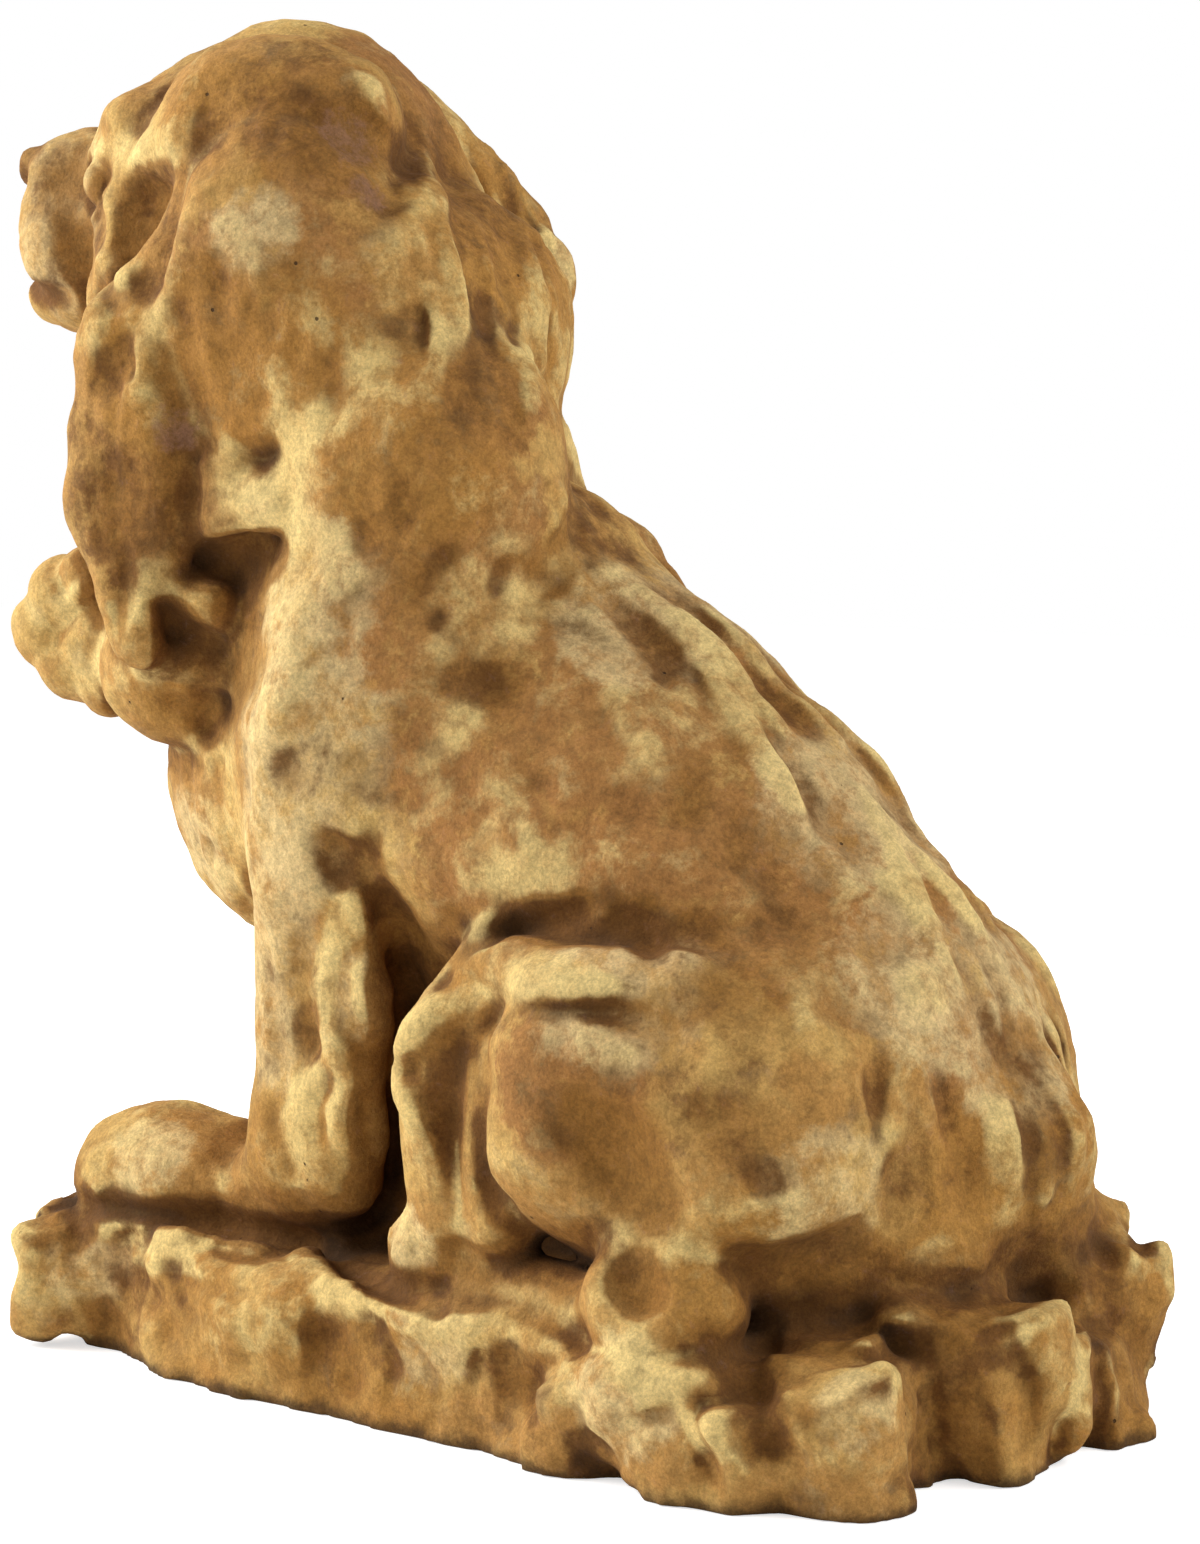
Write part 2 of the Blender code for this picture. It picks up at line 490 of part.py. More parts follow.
    def slab(self, outline, bottom, top, rounding, softness):
        """A prism on an outline, its edges rounded: the distance to the outline is that
        to its nearest side, negative where a line to the left crosses it oddly often."""
        points = np.array(outline, float)
        low = (*points.min(0), bottom)
        high = (*points.max(0), top)
        slices, (x, y, z) = self.window(low, high, self.reach)
        if slices is None:
            return
        nearest = np.float32(FAR_OUT ** 2 * 4)
        odd = False
        for a, b in zip(points, np.roll(points, -1, axis=0)):
            run = b - a
            share = np.clip(((x - a[0]) * run[0] + (y - a[1]) * run[1]) / (run @ run), 0, 1)
            square = (x - a[0] - share * run[0]) ** 2 + (y - a[1] - share * run[1]) ** 2
            nearest = np.minimum(nearest, square)
            spans = (a[1] > y) != (b[1] > y)
            rise = run[1] if run[1] else 1e-9
            odd = odd ^ (spans & (x < a[0] + (y - a[1]) / rise * run[0]))
        flat = np.where(odd, -1, 1) * np.sqrt(nearest) + rounding
        level = np.abs(z - (top + bottom) / 2) - ((top - bottom) / 2 - rounding)
        outside = np.sqrt(np.maximum(flat, 0) ** 2 + np.maximum(level, 0) ** 2)
        self.join(slices, outside + np.minimum(np.maximum(flat, level), 0) - rounding, softness)

    def ring(self, centre, radii, tilt, half_height, half_thickness, softness):
        """A flat band round an oval: a rounded rectangle carried round it."""
        spin = turn_matrix((tilt, 0, 0))
        centre = np.array(centre, float)
        room = max(radii) + half_height
        slices, (x, y, z) = self.window(centre - room, centre + room, self.reach)
        if slices is None:
            return
        offsets = [x - centre[0], y - centre[1], z - centre[2]]
        along = [sum(spin[i, axis] * offsets[i] for i in range(3)) for axis in range(3)]
        size = np.sqrt((along[0] / radii[0]) ** 2 + (along[1] / radii[1]) ** 2)
        out = (size - 1) * min(radii)
        rounding = 0.6 * half_thickness
        over_out = np.abs(out) - (half_thickness - rounding)
        over_up = np.abs(along[2]) - (half_height - rounding)
        outside = np.sqrt(np.maximum(over_out, 0) ** 2 + np.maximum(over_up, 0) ** 2)
        inside = np.minimum(np.maximum(over_out, over_up), 0)
        self.join(slices, outside + inside - rounding, softness)

    def roughen(self, size, height, seed):
        """Wander the surface in and out by up to height: chance values on a lattice of that
        size are blended between its points by the smooth step 3t^2 - 2t^3 and added."""
        lattice = np.random.default_rng(seed).uniform(-height, height, (LATTICE,) * 3)
        where = np.nonzero(np.abs(self.value) < self.pitch * 4)
        total = 0
        base = []
        part = []
        for axis in range(3):
            place = (self.low[axis] + self.pitch * where[axis]) / size
            whole = np.floor(place)
            share = place - whole
            base.append(whole.astype(int))
            part.append(share * share * (3 - 2 * share))
        for corner in range(8):
            step = (corner & 1, corner >> 1 & 1, corner >> 2 & 1)
            weight = 1
            for axis in range(3):
                weight = weight * (part[axis] if step[axis] else 1 - part[axis])
            index = tuple((base[axis] + step[axis]) % LATTICE for axis in range(3))
            total = total + weight * lattice[index]
        self.value[where] += total.astype(np.float32)

    def read(self, points):
        """The distance at any points, read between the grid's own, FAR_OUT off the grid."""
        place = (points - self.low) / self.pitch
        base = np.floor(place).astype(int)
        good = np.all((base >= 0) & (base < self.count - 1), axis=-1)
        base = np.clip(base, 0, self.count - 2)
        part = np.clip(place - base, 0, 1)
        total = 0
        for corner in range(8):
            step = np.array([corner & 1, corner >> 1 & 1, corner >> 2 & 1])
            index = base + step
            weight = np.prod(np.where(step, part, 1 - part), axis=-1)
            total = total + weight * self.value[index[..., 0], index[..., 1], index[..., 2]]
        return np.where(good, total, FAR_OUT)

    def slope(self, points):
        """The direction away from the surface at any points, of length 1."""
        step = self.pitch * np.eye(3)
        rise = np.stack([self.read(points + step[i]) - self.read(points - step[i])
                         for i in range(3)], -1)
        return rise / np.maximum(np.linalg.norm(rise, axis=-1, keepdims=True), 1e-6)

    def skin(self):
        """The surface as (points, quads): one point in each cell that the surface passes
        through, at the mean of where it crosses the cell's edges, and one quad across
        each grid edge that it crosses, joining the four cells round that edge. The grid's
        own outer layer is held outside the clay, so that the surface always closes."""
        value = self.value
        for axis in range(3):
            for edge in (0, -1):
                rim = [slice(None)] * 3
                rim[axis] = edge
                value[tuple(rim)] = np.maximum(value[tuple(rim)], self.pitch)
        cells = tuple(n - 1 for n in self.count)
        total = np.zeros((*cells, 3), np.float32)
        hits = np.zeros(cells, np.int8)
        crossings = []
        for axis in range(3):
            head = [slice(None)] * 3
            tail = [slice(None)] * 3
            head[axis] = slice(None, -1)
            tail[axis] = slice(1, None)
            a = value[tuple(head)]
            b = value[tuple(tail)]
            where = np.nonzero((a < 0) != (b < 0))
            first = a[where]
            part = first / (first - b[where])
            spot = np.stack(where, 1).astype(np.float32)
            spot[:, axis] += part
            crossings.append((where, first < 0))
            others = [k for k in range(3) if k != axis]
            for i in (0, 1):
                for j in (0, 1):
                    cell = [w.copy() for w in where]
                    cell[others[0]] -= i
                    cell[others[1]] -= j
                    ok = (cell[others[0]] >= 0) & (cell[others[1]] >= 0)
                    ok &= (cell[others[0]] < cells[others[0]]) & (cell[others[1]] < cells[others[1]])
                    index = tuple(c[ok] for c in cell)
                    total[index] += spot[ok]
                    hits[index] += 1
        used = np.nonzero(hits)
        number = np.full(cells, -1, np.int32)
        number[used] = np.arange(len(used[0]), dtype=np.int32)
        points = total[used] / hits[used][:, None] * self.pitch + self.low
        quads = []
        for axis, (where, starts_inside) in enumerate(crossings):
            u, v = (axis + 1) % 3, (axis + 2) % 3
            corners = []
            for i, j in ((0, 0), (1, 0), (1, 1), (0, 1)):
                cell = [w.copy() for w in where]
                cell[u] -= i
                cell[v] -= j
                corners.append(number[tuple(cell)])
            quad = np.stack(corners, 1)
            quad[~starts_inside] = quad[~starts_inside][:, ::-1]
            quads.append(quad)
        return points, np.concatenate(quads)


def view_axes():
    """The right, up and forward directions of the view."""
    heading = math.radians(VIEW_HEADING)
    tilt = math.radians(VIEW_TILT)
    flat = np.array((-math.sin(heading), math.cos(heading), 0))
    right = np.array((flat[1], -flat[0], 0))
    forward = math.cos(tilt) * flat + math.sin(tilt) * np.array((0, 0, 1))
    return right, np.cross(right, forward), forward


def seen_points(pixels, rough):
    """Where the rays through some pixels meet the rough statue, and the way out of its
    surface there. A ray that misses gives the point of the statue nearest to it."""
    right, up, forward = view_axes()
    scale = LENS / SENSOR * FRAME_HEIGHT
    pixels = np.array(pixels, float)
    across = (pixels[:, :1] - FRAME_WIDTH / 2) / scale
    rise = (FRAME_HEIGHT / 2 - pixels[:, 1:]) / scale
    rays = forward + across * right + rise * up
    reach = np.linspace(NEAREST_RAY, FARTHEST_RAY, RAY_STEPS)
    points = (np.array(VIEW_PLACE) + reach[None, :, None] * rays[:, None, :]) / MM
    value = rough.read(points)
    inside = value < 0
    hit = inside.any(1)
    rows = np.arange(len(pixels))
    after = np.maximum(np.where(hit, inside.argmax(1), value.argmin(1)), 1)
    first = value[rows, after - 1]
    second = value[rows, after]
    share = np.where(hit, first / np.maximum(first - second, 1e-6), 1)[:, None]
    spots = points[rows, after - 1] * (1 - share) + points[rows, after] * share
    away = rough.slope(spots)
    spots = spots - np.where(hit, 0, np.maximum(second, 0))[:, None] * away
    return spots, away


def subdivided(pixels):
    """A pixel path with points no farther apart than a stroke's step, and how far along
    the whole path each one is, from 0 to 1."""
    pixels = np.array(pixels, float)
    lengths = np.linalg.norm(np.diff(pixels, axis=0), axis=1)
    marks = np.concatenate(([0], np.cumsum(lengths)))
    count = max(2, int(marks[-1] / STROKE_STEP) + 1)
    along = np.linspace(0, marks[-1], count)
    spots = np.stack([np.interp(along, marks, pixels[:, i]) for i in range(2)], 1)
    return spots, along / max(marks[-1], 1e-6)


def draw_strokes(clays, rough):
    """Find where the broader pixel strokes lie and work them into the clays, on both sides."""
    strokes = [("head", *stroke) for stroke in HEAD_STROKES]
    strokes += [("body", *stroke) for stroke in BODY_STROKES]
    strokes += [("rock", *stroke) for stroke in ROCK_STROKES]
    strokes = [stroke for stroke in strokes if stroke[2] >= FINEST_STROKE]
    paths = [subdivided(stroke[4]) for stroke in strokes]
    spots, away = seen_points(np.concatenate([path[0] for path in paths]), rough)
    start = 0
    for (side, kind, radius, depth, _), (pixels, along) in zip(strokes, paths):
        end = start + len(pixels)
        # The tool is pressed less, and is narrower, near both ends of the stroke.
        taper = 0.35 + 0.65 * np.sqrt(np.sin(np.pi * np.clip(along, 0.04, 0.96)))
        if len(pixels) < 4:
            taper = np.ones(len(pixels))
        lift = taper * (radius - depth)
        if kind == "ridge":
            lift = -lift
        centres = spots[start:end] + away[start:end] * lift[:, None]
        path = np.hstack([centres, (radius * taper)[:, None]])
        start = end
        draw_path(clays, kind, path)
        if side == "rock":
            continue
        # The other side isn't quite the same, so the stroke is moved onto its surface, and
        # left out where there is none near it.
        other = mirrored_points(centres, side)
        off = rough.read(other) - rough.read(centres)
        if np.abs(off).max() > FARTHEST_MOVE:
            continue
        other = other - off[:, None] * rough.slope(other)
        draw_path(clays, kind, np.hstack([other, path[:, 3:]]))


def draw_path(clays, kind, path):
    """Work one stroke into the clays, in pieces where it jumps from one form to another
    that is farther away."""
    gaps = np.linalg.norm(np.diff(path[:, :3], axis=0), axis=1) > WIDEST_STEP
    radius = path[:, 3].max()
    for run in np.split(path, np.nonzero(gaps)[0] + 1):
        for clay in clays:
            if kind == "cut":
                clay.cut(run, radius * 0.6)
            else:
                clay.roll(run, radius * 0.5, radius)


def sculpt_head(clay):
    """Skull, muzzle, brows, cheeks, ears and the long locks in front of them."""
    def placed(path):
        return tuple((*from_head(point[:3]), point[3]) for point in path)

    for centre, radii, turn, softness in HEAD_MASSES:
        clay.mass(from_head(centre), radii, turn, softness, HEAD_MATRIX)
    for centre, radii, turn, softness in PAIRED_HEAD_MASSES:
        other = (-centre[0], *centre[1:])
        clay.mass(from_head(centre), radii, turn, softness, HEAD_MATRIX)
        clay.mass(from_head(other), radii, (turn[0], -turn[1], -turn[2]), softness, HEAD_MATRIX)
    for path in (EAR_ROOT, EAR_REAR, EAR_LOCK):
        clay.roll(placed(path), FIRM_JOIN)
        clay.roll(placed(mirrored(path)), FIRM_JOIN)


def sculpt_body(clay):
    """Neck, trunk, legs, feet, tail, collar and bow."""
    for centre, radii, turn, softness in BODY_MASSES:
        clay.mass(centre, radii, turn, softness)
    for centre, radii, turn, softness in PAIRED_BODY_MASSES:
        clay.mass(centre, radii, turn, softness)
        clay.mass((-centre[0], *centre[1:]), radii, (turn[0], -turn[1], -turn[2]), softness)
    for path in (BACK, TAIL):
        clay.roll(path, SOFT_JOIN)
    for path in (FORELEG, FORELEG_FEATHER, BELLY_CURL, FLANK_FOLD, HIND_FOOT):
        clay.roll(path, FIRM_JOIN)
        clay.roll(mirrored(path), FIRM_JOIN)
    clay.ring(COLLAR_CENTRE, COLLAR_RADII, COLLAR_TILT, COLLAR_HALF_HEIGHT,
              COLLAR_HALF_THICKNESS, TIGHT_JOIN)
    clay.mass(*BOW_KNOT)
    for centre, radii, turn, softness in (BOW_FOOT, BOW_FAN):
        clay.mass(centre, radii, turn, softness)
        clay.mass((-centre[0], *centre[1:]), radii, turn, softness)
    for end in BOW_PLEATS:
        clay.roll((BOW_GATHER, end), TIGHT_JOIN)
        clay.roll(mirrored((BOW_GATHER, end)), TIGHT_JOIN)
    clay.roll(BOW_RIBBON, TIGHT_JOIN)
    clay.roll(mirrored(BOW_RIBBON), TIGHT_JOIN)


def part_toes(clay):
    """Grooves between the toes of the forepaws."""
    for _, radius, path in PAW_STROKES:
        path = [(*point, radius) for point in path]
        clay.cut(path, radius * 0.6)
        clay.cut(mirrored(path), radius * 0.6)


def wander_dog(clay):
    """The unevenness of the dog's own surface."""
    for number, (size, height) in enumerate(DOG_WANDER):
        clay.roughen(size, height, 10 + number)


def sculpt_rocks(clay):
    """The slab and the rocks round it, running on below the floor."""
    clay.slab(SLAB_OUTLINE, -SLAB_ROUND, SLAB_THICKNESS, SLAB_ROUND, FIRM_JOIN)
    for number, (centre, size, turn) in enumerate(ROCKS):
        clay.rock(centre, size, turn, ROCK_ROUND, TIGHT_JOIN, number)
    for number, (size, height) in enumerate(ROCK_WANDER):
        clay.roughen(size, height, number)


def clear_scene():
    """Empty the scene that the script was opened in."""
    for thing in list(bpy.data.objects):
        bpy.data.objects.remove(thing, do_unlink=True)


def new_collection(name):
    """Make a collection in the scene."""
    group = bpy.data.collections.new(name)
    bpy.context.scene.collection.children.link(group)
    return group


def make_material(name, colour, roughness, metallic):
    """A plain Principled material."""
    material = bpy.data.materials.new(name)
    material.use_nodes = True
    shader = material.node_tree.nodes["Principled BSDF"]
    shader.inputs["Base Color"].default_value = (*colour, 1)
    shader.inputs["Roughness"].default_value = roughness
    shader.inputs["Metallic"].default_value = metallic
    return material


def concrete():
    """Weathered ochre concrete."""
    return make_material("concrete", (0.52, 0.33, 0.14), 0.9, 0)


def galvanised_steel():
    """Dull zinc on steel rod."""
    return make_material("galvanised_steel", (0.42, 0.43, 0.44), 0.5, 1)


def add_solid(name, mesh, group, material=None):
    """Put a mesh into a collection as a named object."""
    solid = bpy.data.objects.new(name, mesh)
    group.objects.link(solid)
    if material:
        mesh.materials.append(material)
    return solid


def make_cutter(name, mesh, group):
    """An object that only cuts."""
    cutter = add_solid(name, mesh, group)
    cutter.hide_render = True
    cutter.display_type = "WIRE"
    return cutter


def rod_mesh(name, foot, top, radius, extra=0, below=0):
    """A round bar from foot to top, longer by extra at the top and below at the foot."""
    foot = Vector(foot)
    top = Vector(top)
    along = (top - foot).normalized()
    start = foot - below * along
    end = top + extra * along
    middle = Matrix.Translation((start + end) / 2 * MM)
    turn = along.to_track_quat("Z", "Y").to_matrix().to_4x4()
    bar = bmesh.new()
    bmesh.ops.create_cone(
        bar, cap_ends=True, segments=ROD_SIDES, radius1=radius * MM, radius2=radius * MM,
        depth=(end - start).length * MM, matrix=middle @ turn)
    mesh = bpy.data.meshes.new(name)
    bar.to_mesh(mesh)
    bar.free()
    mesh.shade_smooth()
    mesh.set_sharp_from_angle(angle=math.radians(ROD_SHARP_ANGLE))
    return mesh


def cut(solid, cutter):
    """Take a cutter out of a solid."""
    boolean = solid.modifiers.new(cutter.name, "BOOLEAN")
    boolean.operation = "DIFFERENCE"
    boolean.solver = "EXACT"
    boolean.object = cutter


def make_rod(name, ends, diameter, stretch, casting, parts, cutters, material):
    """One rod, and the bore for it in the casting, open to the underside."""
    foot = (ends[0][0] * stretch[0], ends[0][1] * stretch[1], ROD_FOOT_HEIGHT)
    top = np.array(ends[1]) * stretch
    add_solid(name, rod_mesh(name, foot, top, diameter / 2), parts, material)
    bore = rod_mesh(name + "_bore", foot, top, diameter / 2 + ROD_CLEARANCE,
                    extra=ROD_CLEARANCE, below=BORE_OVERSHOOT)
    cut(casting, make_cutter(name + "_bore", bore, cutters))


def sculpt_statue():
    """The whole statue in one clay, as (points, quads)."""
    rough = Clay(GRID_LOW, GRID_HIGH, ROUGH_PITCH, ROUGH_REACH)
    clay = Clay(GRID_LOW, GRID_HIGH, CLAY_PITCH, REACH)
    for each in (rough, clay):
        sculpt_rocks(each)
        sculpt_head(each)
        sculpt_body(each)
    wander_dog(clay)
    draw_strokes((clay,), rough)
    part_toes(clay)
    return clay.skin()


def make_casting(parts, cutters):
    """The statue brought to size, melted into one skin, thinned, and cut flat underneath.
    Also gives the stretch along each axis that brought it to size."""
    points, quads = sculpt_statue()
    low = points.min(0)
    low[2] = 0
    size = np.array((STATUE_WIDTH, STATUE_LENGTH, STATUE_HEIGHT))
    stretch = size / (points.max(0) - low)
    mesh = bpy.data.meshes.new("statue_casting")
    mesh.from_pydata((points * stretch * MM).tolist(), [], quads.tolist())
    casting = add_solid("statue_casting", mesh, parts, concrete())

    melt = casting.modifiers.new("melt", "REMESH")
    melt.mode = "VOXEL"
    melt.voxel_size = MELT_SIZE * MM
    melt.use_smooth_shade = True
    soften = casting.modifiers.new("soften", "SMOOTH")
    soften.factor = 0.5
    soften.iterations = int(MELT_PASSES)
    thin = casting.modifiers.new("thin", "DECIMATE")
    thin.ratio = KEPT_SHARE

    ground = bmesh.new()
    bmesh.ops.create_cube(ground, size=1, matrix=Matrix.Translation((0, 0, -0.5)))
    ground_mesh = bpy.data.meshes.new("ground")
    ground.to_mesh(ground_mesh)
    ground.free()
    cut(casting, make_cutter("ground", ground_mesh, cutters))
    return casting, stretch


def main():
    parts = new_collection("concrete_dog_statue")
    cutters = new_collection("cutters")
    casting, stretch = make_casting(parts, cutters)
    steel = galvanised_steel()
    rods = (
        ("neck_rod", NECK_ROD, NECK_ROD_DIAMETER),
        ("back_rod", BACK_ROD, BACK_ROD_DIAMETER),
        ("left_foreleg_rod", LEFT_FORELEG_ROD, FORELEG_ROD_DIAMETER),
        ("right_foreleg_rod", RIGHT_FORELEG_ROD, FORELEG_ROD_DIAMETER),
    )
    for name, ends, diameter in rods:
        make_rod(name, ends, diameter, stretch, casting, parts, cutters, steel)


clear_scene()
main()
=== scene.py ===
"""Looks of the concrete garden spaniel: sculpted skin, weathered finish, camera and studio."""
import math

import bpy
import numpy as np
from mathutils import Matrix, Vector


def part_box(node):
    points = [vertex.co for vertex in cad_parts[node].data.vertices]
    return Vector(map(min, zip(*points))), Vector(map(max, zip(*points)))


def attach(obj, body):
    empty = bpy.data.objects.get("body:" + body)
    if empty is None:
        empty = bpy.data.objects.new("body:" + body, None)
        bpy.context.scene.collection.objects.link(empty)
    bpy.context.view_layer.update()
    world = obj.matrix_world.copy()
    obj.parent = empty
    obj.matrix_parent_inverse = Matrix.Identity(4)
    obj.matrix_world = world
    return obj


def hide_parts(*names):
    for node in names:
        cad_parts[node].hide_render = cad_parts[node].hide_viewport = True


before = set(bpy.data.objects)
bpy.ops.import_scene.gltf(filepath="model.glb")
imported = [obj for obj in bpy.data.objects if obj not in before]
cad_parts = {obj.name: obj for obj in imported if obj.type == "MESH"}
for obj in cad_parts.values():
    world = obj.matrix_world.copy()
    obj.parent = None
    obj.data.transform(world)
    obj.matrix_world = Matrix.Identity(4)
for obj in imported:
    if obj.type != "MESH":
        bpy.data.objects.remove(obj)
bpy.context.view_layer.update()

# Sculpting is done in millimetres and put into the meshes in metres.
MM = 0.001
FLOOR_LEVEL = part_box("statue_casting")[0][2]

# The camera: where it stands, its heading (0 looks along +Y, 90 along -X) and its tilt.
CAMERA_PLACE = (0.875, 0.612, 0.272)
CAMERA_HEADING = 125.0
CAMERA_TILT = -5.0
LENS = 85.0
SENSOR = 36.0
FRAME_WIDTH = 1200
FRAME_HEIGHT = 1544

# Sculpting grids: their sides and front, then the bottom, the top, the back and the spacing
# of each piece's own grid, and of the rough one on which strokes are placed. Each piece is
# what its grid holds of the whole statue, and it runs on a little into the next one.
GRID_SIDE = 125
GRID_FRONT = -225
GRIDS = {
    "dog_crown": (311, 412, 60, 1.35),
    "dog_neck": (225, 321, 60, 1.35),
    "dog_shoulders": (151, 234, 190, 1.5),
    "dog_trunk": (81, 161, 190, 1.5),
    "dog_feet": (24, 91, 190, 1.6),
    "rock_base": (-6, 34, 190, 1.6),
}
ROUGH_GRID = (-6, 412, 190, 3.0)
# The heights where one piece takes over from the next, and how steeply each one dives
# under the other past them.
SEAMS = (29, 86, 156, 229.5, 316)
SEAM_DIVE = 0.08
# What a grid holds far from the clay, and how far round each form its distances are
# reckoned, on the pieces' grids and on the rough one.
FAR_OUT = 40.0
REACH = 15.0
ROUGH_REACH = 30.0
# The corners of a grid's cell, and what stands in for 0 where something is divided by it.
CORNERS = [(number & 1, number >> 1 & 1, number >> 2 & 1) for number in range(8)]
TINY = 1e-6
TINIEST = 1e-9

# How far along the camera's rays the surface is looked for, in metres.
NEAREST_RAY = 0.75
FARTHEST_RAY = 1.35
RAY_STEPS = 300

# A stroke's points lie this many pixels apart. Where they are more than this many
# millimetres apart on the statue, the stroke is broken. Its mirror image is moved onto the
# other side's surface by no more than this.
STROKE_STEP = 9.0
WIDEST_STEP = 9.0
FARTHEST_MOVE = 14.0

# A stroke's width over its radius, and the shares of that which its ends have and which
# its middle adds; how near its ends, as a share of its length, it stops fading, and the
# fewest points with which it fades; the greatest depth of a groove and height of a ridge
# over the radius; how much of its depth its middle is sunk; and how many widths away it
# still moves the surface.
STROKE_WIDTH = 1.05
END_WIDTH = 0.7
ADDED_WIDTH = 0.3
END_SHARE = 0.03
LEAST_FADING = 4
STEEPEST_CUT = 0.72
STEEPEST_RIDGE = 0.95
STROKE_SINK = 0.45
PRESS_REACH = 2.2

# How softly neighbouring masses run into each other.
SOFT_JOIN = 12.0
FIRM_JOIN = 6.0
TIGHT_JOIN = 3.0
NO_TURN = (0, 0, 0)

# Light: the surroundings' own, and what the floor adds to look white to the camera. Then
# half the floor's width in metres, and its finish. Each lamp is a place, the point it is
# aimed at, a size in metres and watts.
AMBIENT = 0.44
FLOOR_GLOW = 0.6
FLOOR_HALF = 4
FLOOR_PALE = (0.9, 0.9, 0.9, 1)
FLOOR_ROUGHNESS = 0.9
WHITE = (1, 1, 1, 1)
LAMPS = {
    "key": ((0.7, -1.4, 1.0), (0, 0, 0.2), 1.2, 40),
    "rim": ((-0.6, 1.7, 1.3), (0, 0, 0.2), 1.2, 26),
}

# Colours of the weathered concrete, linear. Several also stand for painted light: the browns
# and near black of the hollows partly or wholly for painted shade, and the crests' cream and
# the chalk and ochre stains partly for painted highlight and warm light.
SAND = (0.62, 0.392, 0.120)
TAN = (0.45, 0.232, 0.060)
RUST = (0.34, 0.150, 0.040)
OCHRE_AND_WARM_LIGHT = (0.40, 0.190, 0.036)
WASH_AND_SHADE = (0.29, 0.130, 0.024)
CREAM_WEAR_AND_HIGHLIGHT = (0.82, 0.61, 0.235)
CHALK_AND_HIGHLIGHT = (0.80, 0.61, 0.29)
UMBER_AND_SHADE = (0.16, 0.064, 0.012)
# Near black: painted shade in the tightest crevices and air holes, and painted contact shadow at
# the floor.
SHADE_BLACK = (0.045, 0.020, 0.006)
PLUM = (0.22, 0.115, 0.075)

# Noises of the finish: scale per metre, detail, roughness and distortion.
NOISES = {
    "patches": (26, 7, 0.62),
    "mottle": (70, 9, 0.70, 0.25),
    "flecks": (260, 6, 0.72),
    "grain": (1000, 3, 0.8),
    "washes": (11, 5, 0.6),
}
# Where the patches pass from tan to sand.
GROUND = (0.42, 0.60)
# The layers laid over that, in order: a mark of the mesh or the height above the floor, a
# noise that is added to it, how the sum becomes the share that is laid on, and the colour.
# Each four numbers bring a value smoothly from the first two to the last two. A mark or
# noise without them is taken as it is.
LAYERS = (
    ("rusty", (0, 0.6, 0, 0.22), "mottle", None, (0.52, 0.68, 0, 0.85), RUST),
    # Ochre stains: partly the concrete's own tone, partly painted warm light on the lower parts
    # and the nape.
    ("golden_and_warm_light", (0, 0.7, 0, 0.26), "washes", None, (0.54, 0.84, 0, 0.8), OCHRE_AND_WARM_LIGHT),
    # Chalk stains: partly pale patches, partly painted highlight where light falls on muzzle,
    # shoulder and back.
    ("chalk_and_highlight", (0, 0.7, 0, 0.25), "mottle", None, (0.56, 0.86, 0, 0.75), CHALK_AND_HIGHLIGHT),
    # Cream on the crests: partly wear, partly painted highlight.
    ("crest", None, "mottle", (0.3, 0.7, -0.16, 0.16), (0.02, 0.42, 0, 0.8), CREAM_WEAR_AND_HIGHLIGHT),
    # Brown in the hollows, darker the tighter they are: partly wash settled there, partly painted
    # shade.
    ("hollow_2", None, "patches", (0.3, 0.7, -0.16, 0.16), (0.02, 0.34, 0, 0.9), WASH_AND_SHADE),
    ("hollow_1", None, "mottle", (0.32, 0.68, -0.20, 0.16), (0.06, 0.44, 0, 0.92), UMBER_AND_SHADE),
    # Near black in the tightest crevices: painted shade.
    ("hollow_0", None, "flecks", (0.3, 0.7, -0.1, 0.1), (0.20, 0.75, 0, 0.85), SHADE_BLACK),
    ("plum", (0, 0.9, 0, 0.26), "flecks", None, (0.55, 0.85, 0, 0.6), PLUM),
    # Painted contact shadow: darker within the lowest few millimetres above the floor.
    ("height", None, "mottle", (0.3, 0.7, -0.002, 0.002), (0.0005, 0.0055, 0.8, 0), SHADE_BLACK),
)
# What the noises then multiply the colour by.
SPECKLE = {"flecks": (0.34, 0.66, 0.80, 1.14), "grain": (0.34, 0.66, 0.82, 1.12)}
# Air holes: cells per metre, the edge of a hole in cells, which cells' chance values have
# one, and how dark it is painted, as shade inside the hole.
HOLE_CELLS = 150
HOLE_EDGE = (0.05, 0.09, 1, 0)
HOLE_CHANCE = (0.84, 0.86)
HOLE_DARKNESS = 0.8
ROUGHNESS = 0.88
SPECULAR = 0.25
# Bumps: strength, and the height in metres that 1 stands for.
FLECK_BUMP = (0.7, 0.0012)
GRAIN_BUMP = (0.5, 0.0004)
HOLE_BUMP = (1.0, 0.0012)

# How far out from the surface, in millimetres, its hollows are felt, finest first, and how
# far into it its crests are felt.
FELT = (3, 8, 18)
CREST_DEPTH = 8

